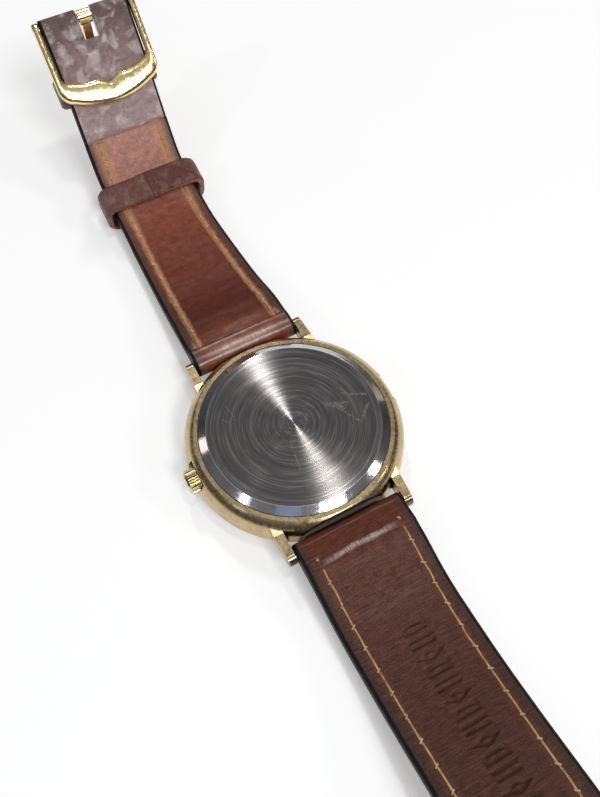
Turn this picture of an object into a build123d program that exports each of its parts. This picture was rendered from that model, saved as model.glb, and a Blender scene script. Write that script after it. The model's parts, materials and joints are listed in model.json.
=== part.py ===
"""Round quartz dress watch with a two-piece padded leather strap.

Units are millimetres.  The origin is the centre of the crystal's outer face.  +Z points out of
the case back, +Y points to 12 o'clock (the buckle strap) and the crown, at 3 o'clock, is on -X.
"""
import math
import os

from build123d import *

# ---------------------------------------------------------------- driving dimensions: the case
CASE_FLANGE_R = 17.06
CASE_WAIST_R = 16.95
CASE_SHOULDER_R = 16.35
CASE_LIP_R = 15.3
CASE_SPLIT_Z = 2.6
CASE_TOP_Z = 6.62
MOVEMENT_BORE_R = 13.95
BACK_SEAT_R = 14.68
BACK_SEAT_Z = 5.2

CRYSTAL_R = 14.6
CRYSTAL_THICK = 1.1
BEZEL_FRONT_Z = 0.25
BEZEL_SEAT_R = 14.97

BACK_FLAT_R = 13.33
BACK_RIM_R = 14.64
BACK_TOP_Z = 7.4

LUG_GAP = 18.0
LUG_TIP_THICK = 1.15
LUG_BASE_THICK = 1.6
LUG_TIP_Y = 18.5
BAR_Y = 17.6
BAR_Z = 4.3
LUG_RELIEF_Y = 15.5

NOTCH_HALF = 2.35
NOTCH_FLOOR_X = 16.1
NOTCH_HIGH = 5.2
NOTCH_PLACES = [(NOTCH_FLOOR_X + 2, 0, 3.5), (-NOTCH_FLOOR_X - 2, 0, 3.5)]
CROWN_Z = 4.0
CROWN_R = 1.9
CROWN_START_X = 16.2
CROWN_END_X = 18.1
CROWN_FLUTES = 28

# ---------------------------------------------------------------- driving dimensions: inside
DIAL_R = 13.85
DIAL_Z = 2.3
DIAL_THICK = 0.4
PLATE_R = 11.5
PLATE_TOP_Z = 3.95
BRIDGE_Z = 5.15
BRIDGE_TOP_Z = 5.6
PIVOT_R = 0.1
PIVOT_HOLE_R = 0.13

HOUR_Z = 1.85
MINUTE_Z = 1.58
SECOND_Z = 1.32
HAND_THICK = 0.12
HOUR_ANGLE = 304.8
MINUTE_ANGLE = 57.6
SECOND_ANGLE = 216.0

# ---------------------------------------------------------------- driving dimensions: the strap
LOOP_R = 1.65
BAR_HOLE_R = 0.8
SKIN = 0.85
STITCH_INSET = 2.1
STITCH_WIDE = 0.45
STITCH_PITCH = 3.43
STITCH_LONG = 2.6
STITCH_START = 2.2
STITCH_PROUD = 0.18
PUNCH_R = 0.95

# Each strap half is a band whose middle line leaves the spring bar at a slight slope and then
# follows arcs: (turn in degrees, length).  Heights are above (+) or below (-) that middle line.
# "lean" is how far the worn strap has set sideways, and "layer_ends" are where its layers stop.
BUCKLE_STRAP = {
    "side": 1,
    "start_slope": 10.0,
    "arcs": [(-24.0, 8.0), (12.0, 8.0), (12.0, 24.0), (35.0, 5.0), (14.0, 25.0)],
    "thick": [(0.0, 3.3), (8.0, 3.3), (30.0, 2.8), (50.0, 2.7), (60.0, 2.9), (90.0, 2.9)],
    "wide": [(-3.0, 17.6), (5.0, 17.6), (30.0, 15.7), (90.0, 15.5)],
    "lean": [(0.0, 0.0), (28.0, -0.7), (45.0, -0.6), (60.0, 0.0), (90.0, 0.0)],
    "layer_ends": [50.5, 56.6, 62.2],
}
HOLE_STRAP = {
    "side": -1,
    "start_slope": 6.0,
    "arcs": [(-20.0, 8.0), (21.0, 8.0), (12.0, 20.0), (4.0, 79.0)],
    "thick": [(0.0, 3.3), (8.0, 3.3), (35.0, 3.0), (60.0, 2.6), (115.0, 2.2)],
    "wide": [(-3.0, 17.6), (6.0, 17.6), (80.0, 16.0), (120.0, 16.0)],
    "lean": [(0.0, 0.0), (120.0, 0.0)],
    "layer_ends": [],
}
BUCKLE_STRAP_LONG = 70.0
HOLE_STRAP_LONG = 115.0
FOLD_SEAM, CORE_END, BUCKLE_NOSE = BUCKLE_STRAP["layer_ends"]
FIXED_KEEPER_AT = 59.5
FREE_KEEPER_AT = 38.4
KEEPER_WIDE = 5.2
KEEPER_GAP = 0.45

BUCKLE_BAR_R = 0.65
BUCKLE_LOOP_R = 1.45
BUCKLE_INNER_HALF = 7.9
BUCKLE_OUTER_HALF = 9.1
BUCKLE_LONG = 14.4
BUCKLE_EYE_R = 1.25
BUCKLE_PIN_REACH = 0.95
BUCKLE_THICK = 1.6
BUCKLE_LIFT = 1.25
BUCKLE_STAND_OFF = 0.5
TONGUE_HANG = 272.0
TONGUE_LONG = 12.4
TONGUE_HALF = 1.1
TONGUE_EYE_R = 1.2

PIN_R = 0.38
PIN_HEAD_R = 0.46
LUG_BAR_HALF = 8.6
BUCKLE_BAR_HALF = 7.6
NOSE = 1.7
FOLD_TAIL = 2.1

os.makedirs("parts", exist_ok=True)


# ---------------------------------------------------------------- shared helpers
def save(part, label):
    """Name a finished piece and write its STEP file."""
    part.label = label
    export_step(part, f"parts/{label}.step")


def level(table, s):
    """Straight-line value at s of a table of (place, value) pairs."""
    for (s0, v0), (s1, v1) in zip(table, table[1:]):
        if s <= s1:
            return v0 + (v1 - v0) * (s - s0) / (s1 - s0)
    return table[-1][1]


def spine(strap, s):
    """Place (distance from the case centre, height) and slope of the middle line at s."""
    out = BAR_Y
    up = BAR_Z
    slope = math.radians(strap["start_slope"])
    left = s
    last = len(strap["arcs"]) - 1
    for i, (turn, length) in enumerate(strap["arcs"]):
        run = left if i == last else min(left, length)
        bend = math.radians(turn) * run / length
        radius = length / math.radians(turn)
        out += radius * (math.sin(slope + bend) - math.sin(slope))
        up -= radius * (math.cos(slope + bend) - math.cos(slope))
        slope += bend
        left -= run
        if left <= 0:
            break
    return out, up, slope


def strap_point(strap, s, side, inset=0.0):
    """Point (y, z) at s, inset from the inner (+1) or outer (-1) surface of the band."""
    out, up, slope = spine(strap, s)
    height = side * (level(strap["thick"], s) / 2 - inset)
    return strap["side"] * (out - height * math.sin(slope)), up + height * math.cos(slope)


def strap_plane(strap, s):
    """Cross-section plane: x across the strap, y towards its outer side."""
    out, up, slope = spine(strap, s)
    along = (0, strap["side"] * math.cos(slope), math.sin(slope))
    outward = (0, strap["side"] * math.sin(slope), -math.cos(slope))
    across = Vector(outward).cross(Vector(along))
    return Plane(origin=(level(strap["lean"], s), strap["side"] * out, up), x_dir=across, z_dir=along)


def stations(strap, s0, s1):
    """Arc ends between s0 and s1, both included, the same for every layer."""
    breaks = list(strap["layer_ends"])
    reach = 0.0
    for _, length in strap["arcs"]:
        reach += length
        breaks.append(reach)
    return [s0] + sorted(s for s in breaks if s0 < s < s1) + [s1]


def strap_edge(strap, s0, s1, side, inset):
    """Draw one surface line of the band, from s0 to s1, as arcs."""
    ends = stations(strap, min(s0, s1), max(s0, s1))
    if s1 < s0:
        ends.reverse()
    for a, b in zip(ends, ends[1:]):
        ThreePointArc(
            strap_point(strap, a, side, inset),
            strap_point(strap, (a + b) / 2, side, inset),
            strap_point(strap, b, side, inset),
        )


def band_profile(strap, s0, s1, low, high):
    """Closed side profile between two surface lines, each given as (side, inset)."""
    with BuildLine() as outline:
        strap_edge(strap, s0, s1, *low)
        Line(strap_point(strap, s1, *low), strap_point(strap, s1, *high))
        strap_edge(strap, s1, s0, *high)
        Line(strap_point(strap, s0, *high), strap_point(strap, s0, *low))
    make_face(outline.edges())


def edge_point(strap, s, hand, inset=0.0):
    """Plan point (x, y) at s, inset from the right (+1) or left (-1) edge."""
    x = level(strap["lean"], s) + hand * (level(strap["wide"], s) / 2 - inset)
    return x, strap["side"] * spine(strap, s)[0]


def plan_outline(strap, s0, s1):
    """Tapered outline of the strap seen from above, as a polygon."""
    places = [s0 + (s1 - s0) * i / 12 for i in range(13)]
    right = [edge_point(strap, s, 1) for s in places]
    left = [edge_point(strap, s, -1) for s in reversed(places)]
    Polygon(*right, *left, align=None)


def gear_points(teeth, module, phase):
    """Outline of a small clock gear with straight-sided teeth and generous backlash."""
    root = module * (teeth / 2 - 1.2)
    tip = module * (teeth / 2 + 0.9)
    pitch = math.tau / teeth
    points = []
    for i in range(teeth):
        middle = math.radians(phase) + i * pitch
        for radius, shift in ((root, -0.27), (tip, -0.1), (tip, 0.1), (root, 0.27)):
            angle = middle + shift * pitch
            points.append((radius * math.cos(angle), radius * math.sin(angle)))
    return points


def polar(distance, angle):
    return distance * math.cos(math.radians(angle)), distance * math.sin(math.radians(angle))


def turning_piece(label, centre, gears, rods, bore=0.0):
    """A wheel: gears as (teeth, module, phase, z0, z1, lightening hole radius), rods as (r, z0, z1)."""
    with BuildPart() as piece:
        for teeth, module, phase, z0, z1, window in gears:
            with BuildSketch(Plane.XY.offset(z0)):
                with Locations(centre):
                    Polygon(*gear_points(teeth, module, phase), align=None)
                    if window:
                        with PolarLocations(module * teeth / 4, 5):
                            Circle(window, mode=Mode.SUBTRACT)
            extrude(amount=z1 - z0)
        for radius, z0, z1 in rods:
            with BuildSketch(Plane.XY.offset(z0)):
                with Locations(centre):
                    Circle(radius)
            extrude(amount=z1 - z0)
        if bore:
            with BuildSketch(Plane.XY):
                with Locations(centre):
                    Circle(bore)
            extrude(amount=BACK_TOP_Z, mode=Mode.SUBTRACT)
    save(piece.part, label)


def ring(label, profile):
    """A turned piece from its half section, points (radius, z)."""
    with BuildPart() as piece:
        with BuildSketch(Plane.XZ):
            Polygon(*profile, align=None)
        revolve(axis=Axis.Z)
    save(piece.part, label)


# ---------------------------------------------------------------- case, lugs and bezel
with BuildPart() as lug:
    with BuildSketch(Plane.YZ.offset(LUG_GAP / 2)):
        with BuildLine():
            Polyline((11.0, 2.62), (11.0, 5.85), (14.0, 5.5), (17.4, 5.45))
            ThreePointArc((17.4, 5.45), (18.2, 5.1), (LUG_TIP_Y, 4.2))
            ThreePointArc((LUG_TIP_Y, 4.2), (18.2, 3.1), (17.4, 2.55))
            Polyline((17.4, 2.55), (14.6, 2.62), (11.0, 2.62))
        make_face()
    extrude(amount=LUG_BASE_THICK)
    with BuildSketch(Plane.XY):
        Polygon(
            (LUG_GAP / 2, 10.9),
            (LUG_GAP / 2, LUG_TIP_Y + 0.1),
            (LUG_GAP / 2 + LUG_TIP_THICK, LUG_TIP_Y + 0.1),
            (LUG_GAP / 2 + LUG_BASE_THICK, 10.9),
            align=None,
        )
    extrude(amount=BACK_TOP_Z, mode=Mode.INTERSECT)

with BuildPart() as case_middle:
    with BuildSketch(Plane.XZ):
        with BuildLine():
            Polyline((12.0, CASE_SPLIT_Z), (16.85, CASE_SPLIT_Z), (CASE_FLANGE_R, 2.72), (CASE_FLANGE_R, 2.85))
            Polyline((CASE_FLANGE_R, 2.85), (CASE_WAIST_R, 3.62), (CASE_WAIST_R - 0.1, 4.6))
            ThreePointArc((CASE_WAIST_R - 0.1, 4.6), (CASE_SHOULDER_R, 5.65), (CASE_LIP_R, CASE_TOP_Z))
            Polyline((CASE_LIP_R, CASE_TOP_Z), (12.0, CASE_TOP_Z), (12.0, CASE_SPLIT_Z))
        make_face()
    revolve(axis=Axis.Z)
    with Locations((0, LUG_RELIEF_Y + 2, CASE_SPLIT_Z), (0, -LUG_RELIEF_Y - 2, CASE_SPLIT_Z)):
        Box(LUG_GAP, 4, 10, mode=Mode.SUBTRACT)
    add(lug.part)
    add(mirror(lug.part, about=Plane.YZ, mode=Mode.PRIVATE))
    add(mirror(lug.part, about=Plane.XZ, mode=Mode.PRIVATE))
    add(mirror(mirror(lug.part, about=Plane.XZ, mode=Mode.PRIVATE), about=Plane.YZ, mode=Mode.PRIVATE))
    with BuildSketch(Plane.XY):
        Circle(MOVEMENT_BORE_R)
    extrude(amount=BACK_TOP_Z, mode=Mode.SUBTRACT)
    with BuildSketch(Plane.XY.offset(BACK_SEAT_Z)):
        Circle(BACK_SEAT_R)
    extrude(amount=BACK_TOP_Z, mode=Mode.SUBTRACT)
    with Locations(*NOTCH_PLACES):
        Box(4, 2 * NOTCH_HALF, NOTCH_HIGH, mode=Mode.SUBTRACT)
    with BuildSketch(Plane(origin=(-12, 0, CROWN_Z), z_dir=(-1, 0, 0))):
        Circle(1.0)
    extrude(amount=6, mode=Mode.SUBTRACT)
    for end in (1, -1):
        with BuildSketch(Plane.YZ.offset(-LUG_GAP / 2 - 1.0)):
            with Locations((end * BAR_Y, BAR_Z)):
                Circle(0.43)
        extrude(amount=LUG_GAP + 2.0, mode=Mode.SUBTRACT)
save(case_middle.part, "case_middle")

with BuildPart() as bezel:
    with BuildSketch(Plane.XZ):
        with BuildLine():
            Polyline((BEZEL_SEAT_R, BEZEL_FRONT_Z), (15.35, BEZEL_FRONT_Z), (15.5, 0.35))
            ThreePointArc((15.5, 0.35), (16.45, 1.2), (16.9, CASE_SPLIT_Z - 0.02))
            Polyline(
                (16.9, CASE_SPLIT_Z - 0.02),
                (MOVEMENT_BORE_R, CASE_SPLIT_Z - 0.02),
                (MOVEMENT_BORE_R, CRYSTAL_THICK + 0.02),
                (BEZEL_SEAT_R, CRYSTAL_THICK + 0.02),
                (BEZEL_SEAT_R, BEZEL_FRONT_Z),
            )
        make_face()
    revolve(axis=Axis.Z)
    with Locations((0, LUG_RELIEF_Y + 2.4, 1.6), (0, -LUG_RELIEF_Y - 2.4, 1.6)):
        Box(LUG_GAP, 4, 4, mode=Mode.SUBTRACT)
    with Locations(*NOTCH_PLACES):
        Box(4, 2 * NOTCH_HALF, NOTCH_HIGH, mode=Mode.SUBTRACT)
save(bezel.part, "bezel")

with BuildPart() as crystal:
    with BuildSketch(Plane.XY):
        Circle(CRYSTAL_R)
    extrude(amount=CRYSTAL_THICK)
    chamfer(crystal.edges().group_by(Axis.Z)[0], length=0.2)
save(crystal.part, "crystal")

ring("crystal_gasket", [(14.62, 0.35), (14.95, 0.35), (14.95, CRYSTAL_THICK), (14.62, CRYSTAL_THICK)])

ring(
    "case_back",
    [
        (0, 6.7),
        (13.3, 6.7),
        (13.55, 6.45),
        (13.55, 5.3),
        (14.1, 5.3),
        (14.1, 6.0),
        (BACK_RIM_R, 6.0),
        (BACK_RIM_R, CASE_TOP_Z),
        (BACK_FLAT_R, BACK_TOP_Z),
        (0, BACK_TOP_Z),
    ],
)
ring("case_back_gasket", [(14.12, 5.25), (14.64, 5.25), (14.64, 5.95), (14.12, 5.95)])

# ---------------------------------------------------------------- crown, tube and stem

def crown_plane(distance):
    """Plane across the stem at a distance from the case centre, facing outwards."""
    return Plane(origin=(-distance, 0, CROWN_Z), x_dir=(0, 1, 0), z_dir=(-1, 0, 0))


def stem_tube(label, r_out, r_in, near, far):
    """Plain tube on the stem's axis."""
    with BuildPart() as tube:
        with BuildSketch(crown_plane(near)):
            Circle(r_out)
            Circle(r_in, mode=Mode.SUBTRACT)
        extrude(amount=far - near)
    save(tube.part, label)


with BuildPart() as crown:
    flute_step = math.tau / CROWN_FLUTES
    flute_points = []
    for i in range(CROWN_FLUTES):
        for radius, shift in ((CROWN_R, -0.22), (CROWN_R, 0.22), (CROWN_R - 0.14, 0.5)):
            flute_angle = (i + shift) * flute_step
            flute_points.append((radius * math.cos(flute_angle), radius * math.sin(flute_angle)))
    with BuildSketch(crown_plane(CROWN_START_X)):
        Polygon(*flute_points, align=None)
    extrude(amount=CROWN_END_X - 0.3 - CROWN_START_X)
    with BuildSketch(crown_plane(CROWN_END_X - 0.3)):
        Circle(CROWN_R - 0.14)
    extrude(amount=0.3, taper=35)
    with BuildSketch(crown_plane(CROWN_START_X)):
        Circle(1.4)
    extrude(amount=1.15, mode=Mode.SUBTRACT)
    with BuildSketch(crown_plane(CROWN_START_X)):
        Circle(0.4)
    extrude(amount=1.6, mode=Mode.SUBTRACT)
save(crown.part, "crown")

stem_tube("crown_tube", 0.99, 0.6, 14.0, 17.3)
stem_tube("crown_gasket", 1.39, 1.02, 16.26, 16.66)

with BuildPart() as winding_stem:
    with BuildSketch(crown_plane(4.8)):
        Circle(0.4)
    extrude(amount=CROWN_START_X + 1.6 - 4.8)
    with BuildSketch(crown_plane(8.95)):
        Circle(0.5)
        Circle(0.25, mode=Mode.SUBTRACT)
    extrude(amount=0.5, mode=Mode.SUBTRACT)
save(winding_stem.part, "winding_stem")

stem_tube("sliding_pinion", 0.75, 0.44, 5.9, 7.0)

SETTING_PIVOT = (-9.2, 1.9)
with BuildPart() as setting_lever:
    with BuildSketch(Plane.XY.offset(4.5)):
        with BuildLine():
            Polyline((-9.65, 1.9), (-9.45, -0.2), (-8.95, -0.2), (-8.75, 1.9))
            ThreePointArc((-8.75, 1.9), (-9.2, 2.35), (-9.65, 1.9))
        make_face()
        with Locations(SETTING_PIVOT):
            Circle(0.28, mode=Mode.SUBTRACT)
    extrude(amount=0.25)
    with BuildSketch(Plane.XY.offset(4.3)):
        with Locations((-9.2, 0)):
            Circle(0.15)
    extrude(amount=0.2)
save(setting_lever.part, "setting_lever")

# ---------------------------------------------------------------- wheel places
THIRD_AT = 100.0
THIRD = polar(3.4, THIRD_AT)
INTER_AT = 230.0
INTERMEDIATE = polar(3.36, INTER_AT)
ROTOR = (INTERMEDIATE[0] + polar(2.52, INTER_AT)[0], INTERMEDIATE[1] + polar(2.52, INTER_AT)[1])
MINUTE_AT = 300.0
MINUTE_WHEEL = polar(3.0, MINUTE_AT)
BATTERY = (7.0, 2.5)
BATTERY_R = 3.4
CLAMP_POST = (3.0, 5.8)
BRIDGE_POSTS = [(-4.2, 4.6), (2.4, -3.9)]

# ---------------------------------------------------------------- fixed pieces of the movement
with BuildPart() as main_plate:
    with BuildSketch(Plane.XY.offset(DIAL_Z + DIAL_THICK + 0.02)):
        Circle(PLATE_R)
    extrude(amount=PLATE_TOP_Z - DIAL_Z - DIAL_THICK - 0.02)
    with BuildSketch(Plane.XY.offset(DIAL_Z)):
        Circle(7.5)
    extrude(amount=3.35 - DIAL_Z, mode=Mode.SUBTRACT)
    with BuildSketch(Plane.XY.offset(3.3)):
        with Locations(BATTERY):
            Circle(BATTERY_R + 0.1)
    extrude(amount=2, mode=Mode.SUBTRACT)
    with BuildSketch(Plane.XY.offset(3.45)):
        with Locations((-0.8, -7.9)):
            Rectangle(8.0, 2.1)
    extrude(amount=2, mode=Mode.SUBTRACT)
    with BuildSketch(Plane.XY.offset(3.5)):
        with Locations((-8.6, 0)):
            Rectangle(8.0, 1.0)
    extrude(amount=2, mode=Mode.SUBTRACT)
    with BuildSketch(Plane.XY.offset(2.0)):
        with Locations((-6.2, 0)):
            Rectangle(2.6, 1.8)
    extrude(amount=3, mode=Mode.SUBTRACT)
    with BuildSketch(Plane.XY):
        Circle(0.5)
        with Locations(THIRD, INTERMEDIATE, ROTOR):
            Circle(PIVOT_HOLE_R)
    extrude(amount=BACK_TOP_Z, mode=Mode.SUBTRACT)
    with BuildSketch(Plane.XY.offset(2.8)):
        with Locations(MINUTE_WHEEL):
            Circle(0.2)
    extrude(amount=0.55)
    with BuildSketch(Plane.XY.offset(PLATE_TOP_Z)):
        with Locations(SETTING_PIVOT):
            Circle(0.25)
    extrude(amount=0.85)
    with BuildSketch(Plane.XY.offset(PLATE_TOP_Z)):
        with Locations(*BRIDGE_POSTS):
            Circle(0.5)
            Circle(0.3, mode=Mode.SUBTRACT)
    extrude(amount=BRIDGE_Z - PLATE_TOP_Z)
    with BuildSketch(Plane.XY.offset(PLATE_TOP_Z)):
        with Locations(CLAMP_POST):
            Circle(0.6)
            Circle(0.3, mode=Mode.SUBTRACT)
    extrude(amount=6.02 - PLATE_TOP_Z)
save(main_plate.part, "main_plate")

with BuildPart() as train_bridge:
    with BuildSketch(Plane.XY.offset(BRIDGE_Z)):
        Circle(1.6)
        with Locations(ROTOR, INTERMEDIATE, THIRD, *BRIDGE_POSTS):
            Circle(0.9)
        make_hull()
        with Locations((0, 0), THIRD, INTERMEDIATE, ROTOR):
            Circle(PIVOT_HOLE_R, mode=Mode.SUBTRACT)
        with Locations(*BRIDGE_POSTS):
            Circle(0.3, mode=Mode.SUBTRACT)
    extrude(amount=BRIDGE_TOP_Z - BRIDGE_Z)
save(train_bridge.part, "train_bridge")

with BuildPart() as battery:
    with BuildSketch(Plane.XY.offset(3.35)):
        with Locations(BATTERY):
            Circle(BATTERY_R - 0.4)
    extrude(amount=0.4)
    with BuildSketch(Plane.XY.offset(3.65)):
        with Locations(BATTERY):
            Circle(BATTERY_R)
    extrude(amount=2.3)
    fillet(battery.edges().group_by(Axis.Z)[-1], radius=0.2)
save(battery.part, "battery")

with BuildPart() as battery_clamp:
    with BuildSketch(Plane.XY.offset(6.02)):
        with Locations(CLAMP_POST, (8.2, 1.2)):
            Circle(0.8)
        make_hull()
        with Locations(CLAMP_POST):
            Circle(0.3, mode=Mode.SUBTRACT)
    extrude(amount=0.18)
save(battery_clamp.part, "battery_clamp")

with BuildPart() as movement_screws:
    for place, seat in ((BRIDGE_POSTS[0], BRIDGE_TOP_Z), (BRIDGE_POSTS[1], BRIDGE_TOP_Z), (CLAMP_POST, 6.2)):
        with BuildSketch(Plane.XY.offset(seat - 1.2)):
            with Locations(place):
                Circle(0.27)
        extrude(amount=1.2)
        with BuildSketch(Plane.XY.offset(seat)):
            with Locations(place):
                Circle(0.5)
                Rectangle(1.2, 0.14, mode=Mode.SUBTRACT)
        extrude(amount=0.15)
        with BuildSketch(Plane.XY.offset(seat)):
            with Locations(place):
                Circle(0.5)
        extrude(amount=0.08)
save(movement_screws.part, "movement_screws")

with BuildPart() as circuit_board:
    with BuildSketch(Plane.XY.offset(4.0)):
        Polygon((3.7, -1.3), (3.7, -4.8), (10.1, -4.8), (10.4, -1.3), align=None)
    extrude(amount=0.15)
    with Locations((5.0, -2.1, 4.4)):
        Box(1.6, 1.6, 0.5)
save(circuit_board.part, "circuit_board")

with BuildPart() as quartz_can:
    with BuildSketch(Plane.YZ.offset(4.7)):
        with Locations((-3.95, 4.92)):
            Circle(0.74)
    extrude(amount=4.9)
    fillet(quartz_can.edges().group_by(Axis.X)[-1], radius=0.25)
save(quartz_can.part, "quartz_can")

with BuildPart() as stator:
    with BuildSketch(Plane.XY.offset(3.97)):
        with Locations(ROTOR):
            Circle(1.6)
        with Locations((-6.2, -7.9)):
            Circle(0.75)
        make_hull()
    extrude(amount=0.4)
    with BuildSketch(Plane.XY.offset(3.97)):
        with Locations(ROTOR):
            Circle(1.5)
        with Locations((3.9, -5.9)):
            Circle(0.7)
        make_hull()
    extrude(amount=0.4)
    with BuildSketch(Plane.XY.offset(3.97)):
        with Locations((3.9, -5.9), (4.8, -7.9)):
            Circle(0.7)
        make_hull()
    extrude(amount=0.4)
    with BuildSketch(Plane.XY):
        with Locations(ROTOR):
            Circle(1.1)
    extrude(amount=BACK_TOP_Z, mode=Mode.SUBTRACT)
save(stator.part, "stator")

with BuildPart() as coil_core:
    with BuildSketch(Plane.XY.offset(4.37)):
        with Locations((-6.2, -7.9), (4.8, -7.9)):
            Circle(0.6)
        make_hull()
    extrude(amount=0.4)
save(coil_core.part, "coil_core")

with BuildPart() as coil_winding:
    with BuildSketch(Plane.YZ.offset(-4.0)):
        with Locations((-7.9, 4.57)):
            RectangleRounded(1.9, 1.9, 0.8)
            Rectangle(1.24, 0.44, mode=Mode.SUBTRACT)
    extrude(amount=6.8)
save(coil_winding.part, "coil_winding")

with BuildPart() as movement_holder:
    with BuildSketch(Plane.XY.offset(DIAL_Z + DIAL_THICK + 0.02)):
        Circle(MOVEMENT_BORE_R - 0.05)
        Circle(PLATE_R + 0.05, mode=Mode.SUBTRACT)
    extrude(amount=2.45)
    with BuildSketch(crown_plane(11.0)):
        Circle(0.6)
    extrude(amount=3.5, mode=Mode.SUBTRACT)
save(movement_holder.part, "movement_holder")

# ---------------------------------------------------------------- dial and hands
with BuildPart() as dial:
    with BuildSketch(Plane.XY.offset(DIAL_Z)):
        Circle(DIAL_R)
        Circle(0.85, mode=Mode.SUBTRACT)
    extrude(amount=DIAL_THICK)
save(dial.part, "dial")

with BuildPart() as dial_markers:
    with BuildSketch(Plane.XY.offset(DIAL_Z - 0.15)):
        with PolarLocations(11.2, 12):
            Rectangle(2.6, 0.45)
    extrude(amount=0.15)
save(dial_markers.part, "dial_markers")

ring(
    "dial_ring",
    [(13.4, CRYSTAL_THICK + 0.04), (13.9, CRYSTAL_THICK + 0.04), (13.9, DIAL_Z - 0.01), (13.0, DIAL_Z - 0.01)],
)


def hand(label, angle, z, reach, tail, width, hub_r, hole_r):
    """A tapered baton hand, its angle clockwise from 12 seen from the front."""
    with BuildPart() as piece:
        with BuildSketch(Plane.XY.offset(z)):
            with Locations(Rotation(0, 0, angle)):
                Polygon((-width / 2, -tail), (width / 2, -tail), (0.15, reach), (-0.15, reach), align=None)
                Circle(hub_r)
                Circle(hole_r, mode=Mode.SUBTRACT)
        extrude(amount=HAND_THICK)
    save(piece.part, label)


hand("hour_hand", HOUR_ANGLE, HOUR_Z, 7.4, 1.6, 0.85, 1.0, 0.68)
hand("minute_hand", MINUTE_ANGLE, MINUTE_Z, 11.2, 1.8, 0.7, 0.8, 0.45)
hand("second_hand", SECOND_ANGLE, SECOND_Z, 12.0, 3.6, 0.3, 0.45, 0.17)

# ---------------------------------------------------------------- the wheel train
turning_piece(
    "hour_wheel",
    (0, 0),
    [(40, 0.12, MINUTE_AT, 2.78, 2.95, 0.4)],
    [(0.68, HOUR_Z, 2.95)],
    bore=0.5,
)
turning_piece(
    "centre_wheel",
    (0, 0),
    [(12, 0.125, MINUTE_AT, 3.02, 3.28, 0), (64, 3.4 * 2 / 72, THIRD_AT, 4.02, 4.2, 0.45)],
    [(0.45, MINUTE_Z, 4.25)],
    bore=0.22,
)
turning_piece(
    "seconds_wheel",
    (0, 0),
    [(8, 0.1, THIRD_AT, 4.28, 4.55, 0), (40, 0.14, INTER_AT, 4.62, 4.8, 0.45)],
    [(0.17, SECOND_Z, 5.1), (PIVOT_R, 5.1, BRIDGE_TOP_Z - 0.05)],
)
turning_piece(
    "minute_wheel",
    MINUTE_WHEEL,
    [
        (36, 0.125, MINUTE_AT + 180 + 5, 3.04, 3.26, 0.4),
        (10, 0.12, MINUTE_AT + 180 + 18, 2.78, 3.04, 0),
    ],
    [],
    bore=0.24,
)
turning_piece(
    "third_wheel",
    THIRD,
    [
        (8, 3.4 * 2 / 72, THIRD_AT + 180 + 22.5, 4.0, 4.24, 0),
        (60, 0.1, THIRD_AT + 180 + 3, 4.32, 4.5, 0.45),
    ],
    [(0.14, 3.98, 5.1), (PIVOT_R, 3.5, BRIDGE_TOP_Z - 0.05)],
)
turning_piece(
    "intermediate_wheel",
    INTERMEDIATE,
    [
        (8, 0.14, INTER_AT + 180 + 22.5, 4.58, 4.84, 0),
        (36, 0.12, INTER_AT, 4.9, 5.05, 0.4),
    ],
    [(0.14, 3.98, 5.1), (PIVOT_R, 3.5, BRIDGE_TOP_Z - 0.05)],
)
turning_piece(
    "rotor",
    ROTOR,
    [(6, 0.12, INTER_AT + 180 + 30, 4.86, 5.1, 0)],
    [(0.8, 4.0, 4.42), (0.14, 3.98, 5.1), (PIVOT_R, 3.5, BRIDGE_TOP_Z - 0.05)],
)


# ---------------------------------------------------------------- spring bars
def bar_barrel(label, places, half, radius):
    """Tubes with closed-in ends that hold a spring and the tails of two pins."""
    with BuildPart() as barrel:
        with BuildSketch(Plane.YZ.offset(-half)):
            with Locations(*places):
                Circle(radius)
                Circle(PIN_R + 0.03, mode=Mode.SUBTRACT)
        extrude(amount=2 * half)
        with BuildSketch(Plane.YZ.offset(-half + 0.2)):
            with Locations(*places):
                Circle(PIN_HEAD_R + 0.04)
        extrude(amount=2 * half - 0.4, mode=Mode.SUBTRACT)
    save(barrel.part, label)


def bar_pin(label, place, half, reach, side):
    """One sliding pin: a head inside the barrel and a shaft that enters the hole beside it."""
    with BuildPart() as pin:
        with BuildSketch(Plane.YZ.offset(half - 1.3)):
            with Locations(place):
                Circle(PIN_R)
        extrude(amount=reach - half + 1.3)
        with BuildSketch(Plane.YZ.offset(half - 1.3)):
            with Locations(place):
                Circle(PIN_HEAD_R)
        extrude(amount=1.0)
        chamfer(pin.edges().group_by(Axis.X)[-1], length=0.1)
    finished = pin.part if side > 0 else mirror(pin.part, about=Plane.YZ)
    save(finished, label)


def bar_springs(label, places, half):
    """Fine coil springs between the heads of the two pins."""
    turns = 12
    length = 2 * (half - 1.3) - 0.04
    with BuildPart() as springs:
        for y, z in places:
            with BuildLine() as coil:
                Helix(length / turns, length, 0.32, center=(-length / 2, y, z), direction=(1, 0, 0))
            with BuildSketch(Plane(origin=coil.line @ 0, z_dir=coil.line % 0)):
                Circle(0.04)
            sweep(path=coil.line)
    save(springs.part, label)


LUG_BARS = [(BAR_Y, BAR_Z), (-BAR_Y, BAR_Z)]
BUCKLE_PIVOT = strap_point(BUCKLE_STRAP, BUCKLE_STRAP_LONG, 0)

bar_barrel("lug_bar_barrels", LUG_BARS, LUG_BAR_HALF, 0.75)
bar_springs("lug_bar_springs", LUG_BARS, LUG_BAR_HALF)
for clock, bar_place in (("12", LUG_BARS[0]), ("6", LUG_BARS[1])):
    bar_pin(f"lug_pin_{clock}_left", bar_place, LUG_BAR_HALF, LUG_GAP / 2 + 0.9, 1)
    bar_pin(f"lug_pin_{clock}_right", bar_place, LUG_BAR_HALF, LUG_GAP / 2 + 0.9, -1)

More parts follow.
